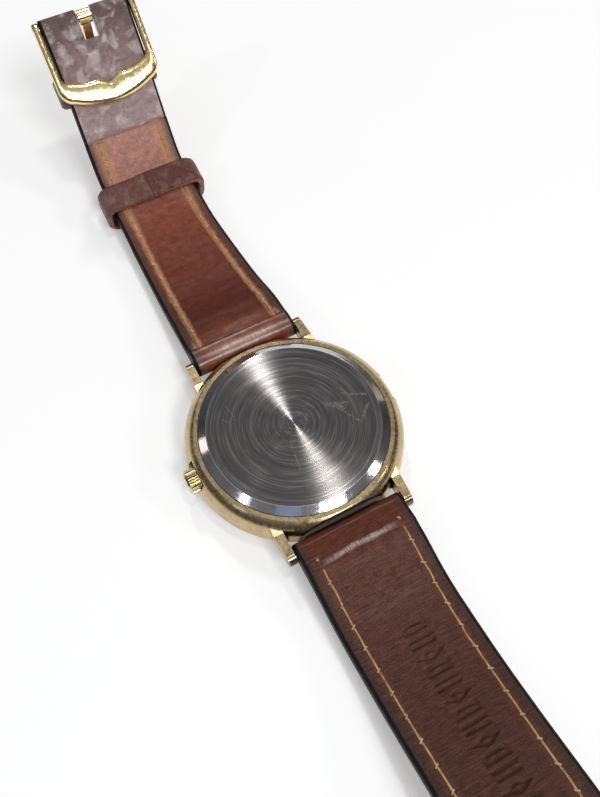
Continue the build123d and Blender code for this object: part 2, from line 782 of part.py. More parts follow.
bar_barrel("buckle_bar_barrel", [BUCKLE_PIVOT], BUCKLE_BAR_HALF, BUCKLE_BAR_R)
bar_springs("buckle_bar_spring", [BUCKLE_PIVOT], BUCKLE_BAR_HALF)
bar_pin("buckle_pin_left", BUCKLE_PIVOT, BUCKLE_BAR_HALF, BUCKLE_INNER_HALF + BUCKLE_PIN_REACH - 0.05, 1)
bar_pin("buckle_pin_right", BUCKLE_PIVOT, BUCKLE_BAR_HALF, BUCKLE_INNER_HALF + BUCKLE_PIN_REACH - 0.05, -1)


# ---------------------------------------------------------------- strap halves
def strap_piece(strap, profiles, s0, s1, holes):
    """Extrude side profiles across the strap, trim to the taper and drill round holes along X."""
    with BuildPart() as piece:
        with BuildSketch(Plane.YZ):
            for s_from, s_to, low, high in profiles:
                band_profile(strap, s_from, s_to, low, high)
            for place, radius in holes:
                with Locations(place):
                    Circle(radius)
        extrude(amount=10, both=True)
        with BuildSketch(Plane.XY.offset(-10)):
            plan_outline(strap, s0, s1)
        extrude(amount=60, mode=Mode.INTERSECT)
    return piece


def loop_cut(place, radius):
    """Bore for a spring bar, cut from the open part."""
    with BuildSketch(Plane.YZ.offset(-12)) as bore:
        with Locations(place):
            Circle(radius)
    extrude(bore.sketch, amount=24, mode=Mode.SUBTRACT)


def tongue_slot(sense, reach):
    """Slot across the buckle loop for the tongue, cut along the strap either way from the bar."""
    along = strap_plane(BUCKLE_STRAP, BUCKLE_STRAP_LONG).z_dir * sense
    with BuildSketch(Plane(origin=(0, *BUCKLE_PIVOT), x_dir=(1, 0, 0), z_dir=along)) as slot:
        Rectangle(2.8, 3.6)
    extrude(slot.sketch, amount=reach, mode=Mode.SUBTRACT)


def punch(strap, s):
    """Round hole through the band, square to its surface."""
    square = strap_plane(strap, s)
    with BuildSketch(Plane(origin=square.origin, x_dir=(1, 0, 0), z_dir=square.y_dir)) as hole:
        Circle(PUNCH_R)
    extrude(hole.sketch, amount=4, both=True, mode=Mode.SUBTRACT)


def trim_tip(strap, s1, point):
    """Trim the open part to the rounded point of the strap's free end."""
    with BuildSketch(Plane.XY.offset(-10)) as tip:
        tip_outline(strap, -5, s1, point)
    extrude(tip.sketch, amount=80, mode=Mode.INTERSECT)


def stitches(label, strap, count, inner_end, outer_end, corner):
    """Rows of thread lying on both faces, each stitch a short slip of the band above the surface."""
    with BuildPart() as thread:
        with BuildSketch(Plane.YZ):
            band_profile(strap, FOLD_TAIL, inner_end, (1, 0.0), (1, -STITCH_PROUD))
            band_profile(strap, NOSE, outer_end, (-1, 0.0), (-1, -STITCH_PROUD))
        extrude(amount=10, both=True)
        with BuildSketch(Plane.XY.offset(-10)):
            for i in range(count):
                s = STITCH_START + (i + 0.5) * STITCH_PITCH
                slope = spine(strap, s)[2]
                with Locations(*(edge_point(strap, s, hand, STITCH_INSET) for hand in (1, -1))):
                    Rectangle(STITCH_WIDE, STITCH_LONG * math.cos(slope))
            for s, inset in corner:
                with Locations(*(edge_point(strap, s, hand, inset) for hand in (1, -1))):
                    Rectangle(STITCH_LONG * 0.6, STITCH_WIDE)
        extrude(amount=60, mode=Mode.INTERSECT)
    save(thread.part, label)


def tip_outline(strap, s0, s1, point):
    """Plan of the strap's free end: straight sides that close in a rounded point."""
    half = level(strap["wide"], s1) / 2
    side = strap["side"]
    start = side * spine(strap, s0)[0]
    base = side * spine(strap, s1 - point)[0]
    end = side * spine(strap, s1)[0]
    wide = level(strap["wide"], s0) / 2
    with BuildLine() as outline:
        Polyline((half, base), (wide, start), (-wide, start), (-half, base))
        ThreePointArc((-half, base), (-half * 0.72, base + 0.62 * (end - base)), (0, end))
        ThreePointArc((0, end), (half * 0.72, base + 0.62 * (end - base)), (half, base))
    make_face(outline.edges())


buckle_upper = strap_piece(
    BUCKLE_STRAP,
    [
        (0, NOSE, (-1, 0), (1, 0)),
        (NOSE, FOLD_TAIL, (1, SKIN), (1, 0)),
        (NOSE, BUCKLE_NOSE, (-1, 0), (-1, SKIN)),
        (FOLD_SEAM, BUCKLE_NOSE, (1, SKIN), (1, 0)),
        (BUCKLE_NOSE, BUCKLE_STRAP_LONG, (-1, 0), (1, 0)),
    ],
    -3,
    BUCKLE_STRAP_LONG + 4,
    [((BAR_Y, BAR_Z), LOOP_R), (BUCKLE_PIVOT, BUCKLE_LOOP_R)],
)
with buckle_upper:
    loop_cut((BAR_Y, BAR_Z), BAR_HOLE_R)
    loop_cut(BUCKLE_PIVOT, BUCKLE_BAR_R + 0.05)
    tongue_slot(1, 6.0)
    tongue_slot(-1, 3.4)
save(buckle_upper.part, "buckle_strap_upper")

buckle_lining = strap_piece(BUCKLE_STRAP, [(FOLD_TAIL, FOLD_SEAM, (1, SKIN), (1, 0))], 0, 60, [])
save(buckle_lining.part, "buckle_strap_lining")

buckle_filler = strap_piece(BUCKLE_STRAP, [(NOSE, CORE_END, (-1, SKIN), (1, SKIN))], 0, 60, [])
save(buckle_filler.part, "buckle_strap_filler")
stitches("buckle_strap_thread", BUCKLE_STRAP, 14, FOLD_SEAM, BUCKLE_NOSE, [(50.0, STITCH_INSET + 0.8)])

hole_upper = strap_piece(
    HOLE_STRAP,
    [
        (0, NOSE, (-1, 0), (1, 0)),
        (NOSE, FOLD_TAIL, (1, SKIN), (1, 0)),
        (NOSE, HOLE_STRAP_LONG, (-1, 0), (-1, SKIN)),
    ],
    -3,
    HOLE_STRAP_LONG,
    [((-BAR_Y, BAR_Z), LOOP_R)],
)
with hole_upper:
    loop_cut((-BAR_Y, BAR_Z), BAR_HOLE_R)
hole_lining = strap_piece(
    HOLE_STRAP, [(FOLD_TAIL, HOLE_STRAP_LONG, (1, SKIN), (1, 0))], 0, HOLE_STRAP_LONG, []
)
hole_filler = strap_piece(
    HOLE_STRAP, [(NOSE, HOLE_STRAP_LONG, (-1, SKIN), (1, SKIN))], 0, HOLE_STRAP_LONG, []
)
PUNCHED_HOLES = [58.0 + 6.5 * i for i in range(7)]
for label, piece in (
    ("hole_strap_upper", hole_upper),
    ("hole_strap_lining", hole_lining),
    ("hole_strap_filler", hole_filler),
):
    with piece:
        for s in PUNCHED_HOLES:
            punch(HOLE_STRAP, s)
        trim_tip(HOLE_STRAP, HOLE_STRAP_LONG, 13)
    save(piece.part, label)
stitches("hole_strap_thread", HOLE_STRAP, 28, HOLE_STRAP_LONG, HOLE_STRAP_LONG, [])


# ---------------------------------------------------------------- keepers
def keeper(label, strap, s, half_wide, top, bottom, wall, leaf, length):
    """A closed leather loop across the strap; heights are measured towards the outer side."""
    with BuildPart() as loop:
        with BuildSketch(strap_plane(strap, s)):
            with Locations((0, (top - leaf + bottom + wall) / 2)):
                RectangleRounded(2 * (half_wide + wall), bottom + wall - top + leaf, 0.9)
            with Locations((0, (top + bottom) / 2)):
                RectangleRounded(2 * half_wide, bottom - top, 0.5, mode=Mode.SUBTRACT)
        extrude(amount=length / 2, both=True)
    save(loop.part, label)


FREE_TOP = -(level(BUCKLE_STRAP["thick"], FREE_KEEPER_AT) / 2 + KEEPER_GAP)
keeper("free_keeper", BUCKLE_STRAP, FREE_KEEPER_AT, 8.4, FREE_TOP, FREE_TOP + 4.8, 1.0, 1.0, KEEPER_WIDE)
CORE_HALF = level(BUCKLE_STRAP["thick"], FIXED_KEEPER_AT) / 2 - SKIN - 0.08
keeper(
    "fixed_keeper", BUCKLE_STRAP, FIXED_KEEPER_AT, 8.15, CORE_HALF, 4.4, 0.9, 2 * CORE_HALF, KEEPER_WIDE - 0.2
)

# ---------------------------------------------------------------- buckle
# At rest the frame is folded back over the strap's inner side.  Its plane stands off the pins'
# axis, so that the outer bar clears the leather.
lie_y, lie_z = strap_point(BUCKLE_STRAP, 54.5, 1, -BUCKLE_LIFT)
buckle_along = Vector(0, lie_y - BUCKLE_PIVOT[0], lie_z - BUCKLE_PIVOT[1]).normalized()
BUCKLE_PLANE = Plane(
    origin=(0, *BUCKLE_PIVOT), x_dir=(1, 0, 0), z_dir=Vector(1, 0, 0).cross(buckle_along)
).offset(-BUCKLE_STAND_OFF)
with BuildPart() as buckle_frame:
    with BuildSketch(BUCKLE_PLANE):
        with BuildLine():
            Polyline((BUCKLE_OUTER_HALF, 0), (BUCKLE_OUTER_HALF, 9.8))
            ThreePointArc((BUCKLE_OUTER_HALF, 9.8), (8.55, 11.7), (7.0, 12.7))
            ThreePointArc((7.0, 12.7), (0, BUCKLE_LONG), (-7.0, 12.7))
            ThreePointArc((-7.0, 12.7), (-8.55, 11.7), (-BUCKLE_OUTER_HALF, 9.8))
            Polyline((-BUCKLE_OUTER_HALF, 9.8), (-BUCKLE_OUTER_HALF, 0), (BUCKLE_OUTER_HALF, 0))
        make_face()
        with BuildLine():
            Polyline((-BUCKLE_INNER_HALF, -2), (-BUCKLE_INNER_HALF, 7.9))
            ThreePointArc((-BUCKLE_INNER_HALF, 7.9), (-7.5, 8.8), (-6.7, 9.2))
            ThreePointArc((-6.7, 9.2), (-4.0, 9.9), (-1.3, 10.2))
            ThreePointArc((-1.3, 10.2), (0, 11.0), (1.3, 10.2))
            ThreePointArc((1.3, 10.2), (4.0, 9.9), (6.7, 9.2))
            ThreePointArc((6.7, 9.2), (7.5, 8.8), (BUCKLE_INNER_HALF, 7.9))
            Polyline((BUCKLE_INNER_HALF, 7.9), (BUCKLE_INNER_HALF, -2), (-BUCKLE_INNER_HALF, -2))
        make_face(mode=Mode.SUBTRACT)
    extrude(amount=BUCKLE_THICK / 2, both=True)
    for inner_face in (BUCKLE_INNER_HALF, -BUCKLE_OUTER_HALF):
        with BuildSketch(Plane.YZ.offset(inner_face)):
            with Locations(BUCKLE_PIVOT):
                Circle(BUCKLE_EYE_R)
        extrude(amount=BUCKLE_OUTER_HALF - BUCKLE_INNER_HALF)
    with BuildSketch(Plane.YZ.offset(-BUCKLE_INNER_HALF - BUCKLE_PIN_REACH)):
        with Locations(BUCKLE_PIVOT):
            Circle(PIN_R + 0.04)
    extrude(amount=2 * (BUCKLE_INNER_HALF + BUCKLE_PIN_REACH), mode=Mode.SUBTRACT)
save(buckle_frame.part, "buckle_frame")

tongue_along = Vector(0, math.cos(math.radians(TONGUE_HANG)), math.sin(math.radians(TONGUE_HANG)))
with BuildPart() as buckle_tongue:
    with BuildSketch(
        Plane(origin=(0, *BUCKLE_PIVOT), x_dir=(1, 0, 0), z_dir=Vector(1, 0, 0).cross(tongue_along))
    ):
        with Locations((0, TONGUE_LONG / 2)):
            SlotOverall(TONGUE_LONG, 1.5, rotation=90)
    extrude(amount=0.45, both=True)
    with BuildSketch(Plane.YZ.offset(-TONGUE_HALF)):
        with Locations(BUCKLE_PIVOT):
            Circle(TONGUE_EYE_R)
    extrude(amount=2 * TONGUE_HALF)
    with BuildSketch(Plane.YZ.offset(-TONGUE_HALF)):
        with Locations(BUCKLE_PIVOT):
            Circle(BUCKLE_BAR_R + 0.05)
    extrude(amount=2 * TONGUE_HALF, mode=Mode.SUBTRACT)
save(buckle_tongue.part, "buckle_tongue")
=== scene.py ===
"""Looks for the round quartz dress watch: leather, thread, worn gold and brushed steel."""
import cmath
import json
import math

import bmesh
import bpy
from mathutils import Matrix, Vector, noise


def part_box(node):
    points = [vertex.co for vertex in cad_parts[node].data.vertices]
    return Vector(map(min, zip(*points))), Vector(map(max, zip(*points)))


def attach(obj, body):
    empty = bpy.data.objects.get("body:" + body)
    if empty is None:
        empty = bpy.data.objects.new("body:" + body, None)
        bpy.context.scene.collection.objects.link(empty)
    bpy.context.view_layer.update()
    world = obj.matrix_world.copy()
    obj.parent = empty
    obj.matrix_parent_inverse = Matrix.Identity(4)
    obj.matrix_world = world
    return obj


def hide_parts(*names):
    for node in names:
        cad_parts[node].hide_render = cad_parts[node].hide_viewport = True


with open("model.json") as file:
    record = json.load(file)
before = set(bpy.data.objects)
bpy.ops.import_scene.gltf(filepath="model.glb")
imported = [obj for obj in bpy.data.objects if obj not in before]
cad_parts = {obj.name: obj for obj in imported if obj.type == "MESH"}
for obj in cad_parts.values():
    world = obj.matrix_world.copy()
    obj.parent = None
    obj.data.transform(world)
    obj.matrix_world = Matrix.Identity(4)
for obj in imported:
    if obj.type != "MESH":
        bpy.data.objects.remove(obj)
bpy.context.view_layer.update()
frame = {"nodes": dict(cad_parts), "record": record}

MM = 0.001
X_AXIS = Vector((1, 0, 0))
Y_AXIS = Vector((0, 1, 0))
Z_AXIS = Vector((0, 0, 1))
NODES = frame["nodes"]

# ---- strap path, in mm, as in the CAD
# Spring bars: distance from the middle and height.
BAR_Y = 17.6
BAR_Z = 4.3
# Outside radius of the leather round a spring bar, and thickness of one leather.
LOOP_R = 1.65
SKIN = 0.85
# Each strap half: turns in degrees over lengths, and tables by place along the leather.
BUCKLE_STRAP = {
    "side": 1,
    "start_slope": 10.0,
    "arcs": [(-24.0, 8.0), (12.0, 8.0), (12.0, 24.0), (35.0, 5.0), (14.0, 25.0)],
    "thick": [(0.0, 3.3), (8.0, 3.3), (30.0, 2.8), (50.0, 2.7), (60.0, 2.9), (90.0, 2.9)],
    "wide": [(-3.0, 17.6), (5.0, 17.6), (30.0, 15.7), (90.0, 15.5)],
    "lean": [(0.0, 0.0), (28.0, -0.7), (45.0, -0.6), (60.0, 0.0), (90.0, 0.0)],
}
HOLE_STRAP = {
    "side": -1,
    "start_slope": 6.0,
    "arcs": [(-20.0, 8.0), (21.0, 8.0), (12.0, 20.0), (4.0, 79.0)],
    "thick": [(0.0, 3.3), (8.0, 3.3), (35.0, 3.0), (60.0, 2.6), (115.0, 2.2)],
    "wide": [(-3.0, 17.6), (6.0, 17.6), (80.0, 16.0), (120.0, 16.0)],
    "lean": [(0.0, 0.0), (120.0, 0.0)],
}
BUCKLE_LONG = 70.0
HOLE_LONG = 115.0
# Seams, as places along the strap: behind the roll, and at the fold that holds the buckle.
FOLD_TAIL = 2.1
FOLD_SEAM = 50.5
STITCH_INSET = 2.2
STITCH_PITCH = 3.43
THREAD_R = 0.15
BUCKLE_ROW = (2.2, 2.2 + 14 * STITCH_PITCH)
HOLE_ROW = (2.2, 2.2 + 28 * STITCH_PITCH)
PUNCHED = [58.0 + 6.5 * i for i in range(7)]
PUNCH_R = 0.95
TIP_LONG = 13.0
# Flat face of the case between two lugs, and their inner sides.
RELIEF_Y = 15.5
LUG_INSIDE = 8.9


def level(table, s):
    """Straight-line value at s of a table of (place, value) pairs."""
    for (s0, v0), (s1, v1) in zip(table, table[1:]):
        if s <= s1:
            return v0 + (v1 - v0) * (s - s0) / (s1 - s0)
    return table[-1][1]


def spine(strap, s):
    """Distance out, height and slope of the strap's middle line at s."""
    out = BAR_Y
    up = BAR_Z
    slope = math.radians(strap["start_slope"])
    left = s
    last = len(strap["arcs"]) - 1
    for i, (turn, length) in enumerate(strap["arcs"]):
        run = left if i == last else min(left, length)
        bend = math.radians(turn) * run / length
        radius = length / math.radians(turn)
        out += radius * (math.sin(slope + bend) - math.sin(slope))
        up -= radius * (math.cos(slope + bend) - math.cos(slope))
        slope += bend
        left -= run
        if left <= 0:
            break
    return out, up, slope


def on_strap(strap, x, s, height):
    """Point in metres at x across, s along and a height above the middle line."""
    out, up, slope = spine(strap, s)
    y = strap["side"] * (out - height * math.sin(slope))
    return Vector((x + level(strap["lean"], s), y, up + height * math.cos(slope))) * MM


def smooth_step(low, high, value):
    t = min(1.0, max(0.0, (value - low) / (high - low)))
    return t * t * (3 - 2 * t)


def bump_at(value, centre, spread):
    return math.exp(-(((value - centre) / spread) ** 2))


# ---- mesh helpers
def placed(name, data):
    """New object in the scene."""
    obj = bpy.data.objects.new(name, data)
    bpy.context.scene.collection.objects.link(obj)
    return obj


def make_object(name, verts, faces, slots, materials, uvs=None, edges=None):
    """Mesh object from metre points. uvs gives one (u, v) per vertex, slots one material index per face.
    edges gives a second (distance from the strap's side, v) per vertex."""
    mesh = bpy.data.meshes.new(name)
    mesh.from_pydata([tuple(v) for v in verts], [], faces)
    mesh.update()
    for material in materials:
        mesh.materials.append(material)
    for layer_name, places in (("strap", uvs), ("edge", edges)):
        if places:
            layer = mesh.uv_layers.new(name=layer_name)
            for loop in mesh.loops:
                layer.data[loop.index].uv = places[loop.vertex_index]
    for polygon, index in zip(mesh.polygons, slots):
        polygon.material_index = index
        polygon.use_smooth = True
    return placed(name, mesh)


def outward(obj):
    """Make every face's normal point outwards."""
    mesh = bmesh.new()
    mesh.from_mesh(obj.data)
    bmesh.ops.recalc_face_normals(mesh, faces=mesh.faces)
    if mesh.calc_volume(signed=True) < 0:
        bmesh.ops.reverse_faces(mesh, faces=mesh.faces)
    mesh.to_mesh(obj.data)
    mesh.free()


def skin(rings, base=0, slot_of=lambda i, j: 0, loop=False):
    """Faces and slots over equal closed rings of points, whose vertices are numbered from base.
    The rings meet end to start in a loop, or else both ends are closed."""
    count = len(rings[0])
    faces = []
    slots = []
    for i in range(len(rings) if loop else len(rings) - 1):
        here = base + i * count
        ahead = base + (i + 1) % len(rings) * count
        for j in range(count):
            k = (j + 1) % count
            faces.append((here + j, here + k, ahead + k, ahead + j))
            slots.append(slot_of(i, j))
    if not loop:
        last = base + (len(rings) - 1) * count
        faces += [tuple(range(base, base + count)), tuple(reversed(range(last, last + count)))]
        slots += slots[:1] * 2
    return faces, slots


def rings_object(name, rings, materials=(), uvs=None, edges=None, **looks):
    """Object that skins a list of rings. looks may hold slot_of(i, j), a face's material index, and loop."""
    faces, slots = skin(rings, **looks)
    verts = [p for ring in rings for p in ring]
    obj = make_object(name, verts, faces, slots, materials, uvs, edges)
    outward(obj)
    return obj


def circle(centre, side, other, count):
    """Ring of points round a centre, from its two radii as vectors."""
    angles = [math.tau * k / count for k in range(count)]
    return [centre + side * math.cos(a) + other * math.sin(a) for a in angles]


def cut(obj, cutters):
    """Subtract closed cutter objects from obj and delete them."""
    for cutter in cutters:
        boolean = obj.modifiers.new("cut", "BOOLEAN")
        boolean.operation = "DIFFERENCE"
        boolean.solver = "EXACT"
        boolean.object = cutter
    depsgraph = bpy.context.evaluated_depsgraph_get()
    mesh = bpy.data.meshes.new_from_object(obj.evaluated_get(depsgraph))
    obj.modifiers.clear()
    obj.data = mesh
    for cutter in cutters:
        bpy.data.objects.remove(cutter)


def join(name, pieces):
    """Join finished objects into one."""
    bpy.ops.object.select_all(action="DESELECT")
    for piece in pieces:
        piece.select_set(True)
    bpy.context.view_layer.objects.active = pieces[0]
    bpy.ops.object.join()
    pieces[0].name = name
    return pieces[0]


# ---- material helpers
class Shader:
    """A small node-tree writer around the shading node of a new material, or of a new world."""

    def __init__(self, name, data=bpy.data.materials, kind="Principled BSDF", **values):
        self.material = data.new(name)
        self.material.use_nodes = True
        self.tree = self.material.node_tree
        self.shader = self.tree.nodes[kind]
        for key, value in values.items():
            self.shader.inputs[key.replace("_", " ")].default_value = value

    def node(self, kind, **settings):
        node = self.tree.nodes.new(kind)
        for key, value in settings.items():
            setattr(node, key, value)
        return node

    def link(self, source, target):
        self.tree.links.new(source, target)

    def to(self, source, socket):
        self.link(source, self.shader.inputs[socket])

    def math(self, operation, a, b=None):
        node = self.node("ShaderNodeMath", operation=operation)
        for index, value in enumerate((a, b)):
            if isinstance(value, (int, float)):
                node.inputs[index].default_value = value
            elif value is not None:
                self.link(value, node.inputs[index])
        return node.outputs[0]

    def times(self, a, b):
        return self.math("MULTIPLY", a, b)

    def plus(self, a, b):
        return self.math("ADD", a, b)

    def minus(self, a, b):
        return self.math("SUBTRACT", a, b)

    def apart(self, a, b):
        return self.math("ABSOLUTE", self.minus(a, b))

    def stretched(self, vector, scale):
        mapping = self.node("ShaderNodeMapping")
        mapping.inputs["Scale"].default_value = scale
        self.link(vector, mapping.inputs["Vector"])
        return mapping.outputs[0]

    def coords(self, kind="Object"):
        return self.node("ShaderNodeTexCoord").outputs[kind]

    def body(self):
        """Place on the object in mm."""
        return self.stretched(self.coords(), (1 / MM, 1 / MM, 1 / MM))

    def split(self, vector):
        node = self.node("ShaderNodeSeparateXYZ")
        self.link(vector, node.inputs[0])
        return node.outputs

    def joined(self, *parts):
        node = self.node("ShaderNodeCombineXYZ")
        for part, socket in zip(parts, node.inputs):
            self.link(part, socket)
        return node.outputs[0]

    def noise(self, vector, scale, detail=3.0, roughness=0.5, distortion=0.0):
        node = self.node("ShaderNodeTexNoise")
        node.inputs["Scale"].default_value = scale
        node.inputs["Detail"].default_value = detail
        node.inputs["Roughness"].default_value = roughness
        node.inputs["Distortion"].default_value = distortion
        self.link(vector, node.inputs["Vector"])
        return node.outputs["Fac"]

    def ramp(self, value, stops):
        """Colour ramp; stops are (place, colour) with colours of 3 numbers."""
        node = self.node("ShaderNodeValToRGB")
        elements = node.color_ramp.elements
        while len(elements) < len(stops):
            elements.new(0.5)
        for element, (place, colour) in zip(elements, stops):
            element.position = place
            element.color = (*colour, 1)
        self.link(value, node.inputs["Fac"])
        return node.outputs["Color"]

    def scaled(self, value, low, high, out_low, out_high):
        node = self.node("ShaderNodeMapRange")
        self.link(value, node.inputs["Value"])
        for key, number in (("From Min", low), ("From Max", high), ("To Min", out_low), ("To Max", out_high)):
            node.inputs[key].default_value = number
        return node.outputs["Result"]

    def mix(self, factor, a, b, blend="MIX"):
        node = self.node("ShaderNodeMix", data_type="RGBA", blend_type=blend)
        for socket, value in ((node.inputs["Factor"], factor), (node.inputs["A"], a), (node.inputs["B"], b)):
            if isinstance(value, (int, float)):
                socket.default_value = value
            elif isinstance(value, tuple):
                socket.default_value = (*value, 1)
            else:
                self.link(value, socket)
        return node.outputs["Result"]

    def bump(self, height, depth, strength):
        """Bump with its depth in mm."""
        node = self.node("ShaderNodeBump")
        node.inputs["Distance"].default_value = depth * MM
        node.inputs["Strength"].default_value = strength
        self.link(height, node.inputs["Height"])
        self.to(node.outputs["Normal"], "Normal")

    def radius(self):
        """Distance from the watch's middle axis in mm, and the place in metres."""
        place = self.split(self.coords())
        square = self.plus(self.math("POWER", place[0], 2), self.math("POWER", place[1], 2))
        return self.math("DIVIDE", self.math("SQRT", square), MM), place


# ---- materials
COAT = 0.04


def leather(
    name, tones, gloss, blotches=None, relief=1.0, rub=None, margin=None, shine=(), glaze=None, painted_highlight=None
):
    """Glazed leather: colour that changes along the strap, mottling, grain, cross creases, worn shine and a
    painted highlight.
    The first UV map is in mm, u across and v along; the second has the distance from the side.
    tones: (place, colour) along the strap; blotches: pale patches of worn leather, on the fold leather also
    painted sheen; rub: worn halo round the stitching; margin: tone beside the edges; shine: (place, spread,
    drop in roughness) of polished ridges; glaze: (place, end, weight) of the gloss on the rolled end;
    painted_highlight: (place, spread, reach, tone) of a painted highlight, a pale hatched band across a
    ridge."""
    m = Shader(name, Roughness=gloss, Coat_Weight=COAT, Coat_Roughness=0.26, Specular_IOR_Level=0.22)
    strap = m.coords("UV")
    across, along, _ = m.split(strap)
    blotch = m.noise(strap, 0.16, 4, 0.6)
    mottle = m.noise(strap, 0.75, 5, 0.65)
    pores = m.noise(strap, 4.5, 4, 0.65)
    wander = m.times(m.minus(blotch, 0.5), 9)
    place = m.math("DIVIDE", m.plus(along, wander), HOLE_LONG)
    colour = m.ramp(place, [(s / HOLE_LONG, tone) for s, tone in tones])
    colour = m.mix(1.0, colour, m.scaled(mottle, 0.25, 0.75, 0.62, 1.38), "MULTIPLY")
    grain = m.scaled(pores, 0.3, 0.7, 1 - 0.23 * relief, 1 + 0.22 * relief)
    colour = m.mix(1.0, colour, grain, "MULTIPLY")
    if blotches:
        pale = m.scaled(m.noise(strap, 0.33, 4, 0.6, 0.6), 0.50, 0.68, 0.0, 0.75)
        colour = m.mix(pale, colour, blotches)
    if rub:
        tone, amount = rub
        edge = m.split(m.node("ShaderNodeUVMap", uv_map="edge").outputs[0])[0]
        wobble = m.times(m.minus(mottle, 0.5), 0.9)
        away = m.math("ABSOLUTE", m.plus(m.minus(edge, STITCH_INSET), wobble))
        fade = m.minus(1.0, m.math("DIVIDE", away, m.scaled(along, 28.0, 42.0, 0.75, 1.25)))
        halo = m.times(m.scaled(fade, 0.0, 0.8, 0.0, amount), m.scaled(pores, 0.3, 0.65, 0.6, 1.2))
        begun = m.scaled(along, FOLD_TAIL - 0.4, FOLD_TAIL + 0.8, 0.0, 1.0)
        colour = m.mix(m.times(halo, begun), colour, tone)
        dull = m.times(m.scaled(edge, 0.4, 2.0, 0.85, 0.0), m.scaled(mottle, 0.3, 0.6, 0.6, 1.1))
        colour = m.mix(dull, colour, margin)
    if glaze:
        start, stop, weight = glaze
        coat = m.scaled(along, start, stop, weight, COAT)
        m.to(m.times(coat, m.scaled(mottle, 0.3, 0.65, 0.7, 1.3)), "Coat Weight")
    if painted_highlight:
        # Painted highlight: a pale hatched band at one place along the strap, fading along it and towards the
        # sides.
        start, spread, reach, tone = painted_highlight
        hatch = m.noise(m.stretched(strap, (5.0, 0.6, 1)), 1.0, 4, 0.7)
        off = m.apart(along, m.plus(m.scaled(wander, -2, 2, -0.3, 0.3), start))
        middle = m.scaled(m.math("ABSOLUTE", across), reach - 3.0, reach, 1.0, 0.0)
        highlight_band = m.times(m.scaled(off, 0.1, spread, 1.0, 0.0), middle)
        colour = m.mix(m.times(highlight_band, m.scaled(hatch, 0.36, 0.60, 0.15, 0.85)), colour, tone)
    m.to(colour, "Base Color")
    rough = m.scaled(mottle, 0.3, 0.7, gloss - 0.07, gloss + 0.10)
    for start, spread, drop in shine:
        rough = m.minus(rough, m.scaled(m.apart(along, start), 0.0, spread, drop, 0.0))
    m.to(m.math("MAXIMUM", rough, 0.16), "Roughness")
    creases = m.noise(m.stretched(strap, (0.45, 2.4, 1)), 1.0, 5, 0.65, 0.8)
    cell = m.node("ShaderNodeTexVoronoi", feature="DISTANCE_TO_EDGE")
    cell.inputs["Scale"].default_value = 2.4
    m.link(strap, cell.inputs["Vector"])
    ridge = m.scaled(cell.outputs["Distance"], 0.0, 0.12, 0.0, 1.0)
    height = m.plus(m.times(creases, 1.6 * relief), m.times(ridge, 0.20))
    height = m.plus(height, m.times(m.noise(m.body(), 3.4, 4, 0.65), 0.45 * relief))
    m.bump(height, 0.12, 0.9)
    return m.material


def edge_paint():
    """Black painted edge, slightly worn."""
    m = Shader("edge_paint", Roughness=0.5, Specular_IOR_Level=0.25)
    body = m.body()
    rub = m.noise(body, 0.9, 4, 0.6)
    m.to(m.ramp(rub, [(0.45, (0.004, 0.004, 0.004)), (0.8, (0.016, 0.010, 0.008))]), "Base Color")
    m.bump(m.noise(body, 3.0, 3, 0.5), 0.05, 0.6)
    return m.material


def thread(name, low, mid, high):
    """Waxed thread with a twist."""
    m = Shader(name, Roughness=0.55, Sheen_Weight=0.15, Sheen_Roughness=0.4, Specular_IOR_Level=0.3)
    m.to(m.ramp(m.noise(m.body(), 0.9, 3, 0.6), [(0.3, low), (0.5, mid), (0.7, high)]), "Base Color")
    twist = m.node("ShaderNodeTexWave", wave_type="BANDS", bands_direction="DIAGONAL")
    twist.inputs["Scale"].default_value = 1.1
    m.link(m.coords("UV"), twist.inputs["Vector"])
    m.bump(twist.outputs["Fac"], 0.06, 0.8)
    return m.material


# Scratches on the back: start and end (mm from the middle) and width.
SCRATCHES = (
    (9.0, 1.0, 12.1, -0.8, 0.30),
    (6.0, 0.5, 8.6, -0.7, 0.45),
    (7.1, -0.9, 9.0, -4.4, 0.20),
    (11.5, -2.4, 9.2, -4.4, 0.30),
    (9.1, 2.0, 9.4, 0.8, 0.25),
    (6.6, 0.0, 7.9, -1.1, 0.45),
    (-9.4, 5.5, -7.8, 3.9, 0.08),
    (-7.9, 7.4, -7.3, 3.6, 0.06),
    (-1.8, -2.3, -2.7, -7.2, 0.05),
)


def scratch(m, place, start, stop, width):
    """1 on a straight scratch, 0 away from it."""
    x0, y0 = start
    x1, y1 = stop
    length = math.dist(start, stop)
    ux, uy = (x1 - x0) / length, (y1 - y0) / length
    dx = m.minus(m.math("DIVIDE", place[0], MM), x0)
    dy = m.minus(m.math("DIVIDE", place[1], MM), y0)
    along = m.plus(m.times(dx, ux), m.times(dy, uy))
    away = m.apart(m.times(dy, ux), m.times(dx, uy))
    beyond = m.math("MAXIMUM", m.minus(along, length), m.times(along, -1.0))
    distance = m.math("MAXIMUM", away, beyond)
    return m.scaled(distance, 0.0, width, 1.0, 0.0)


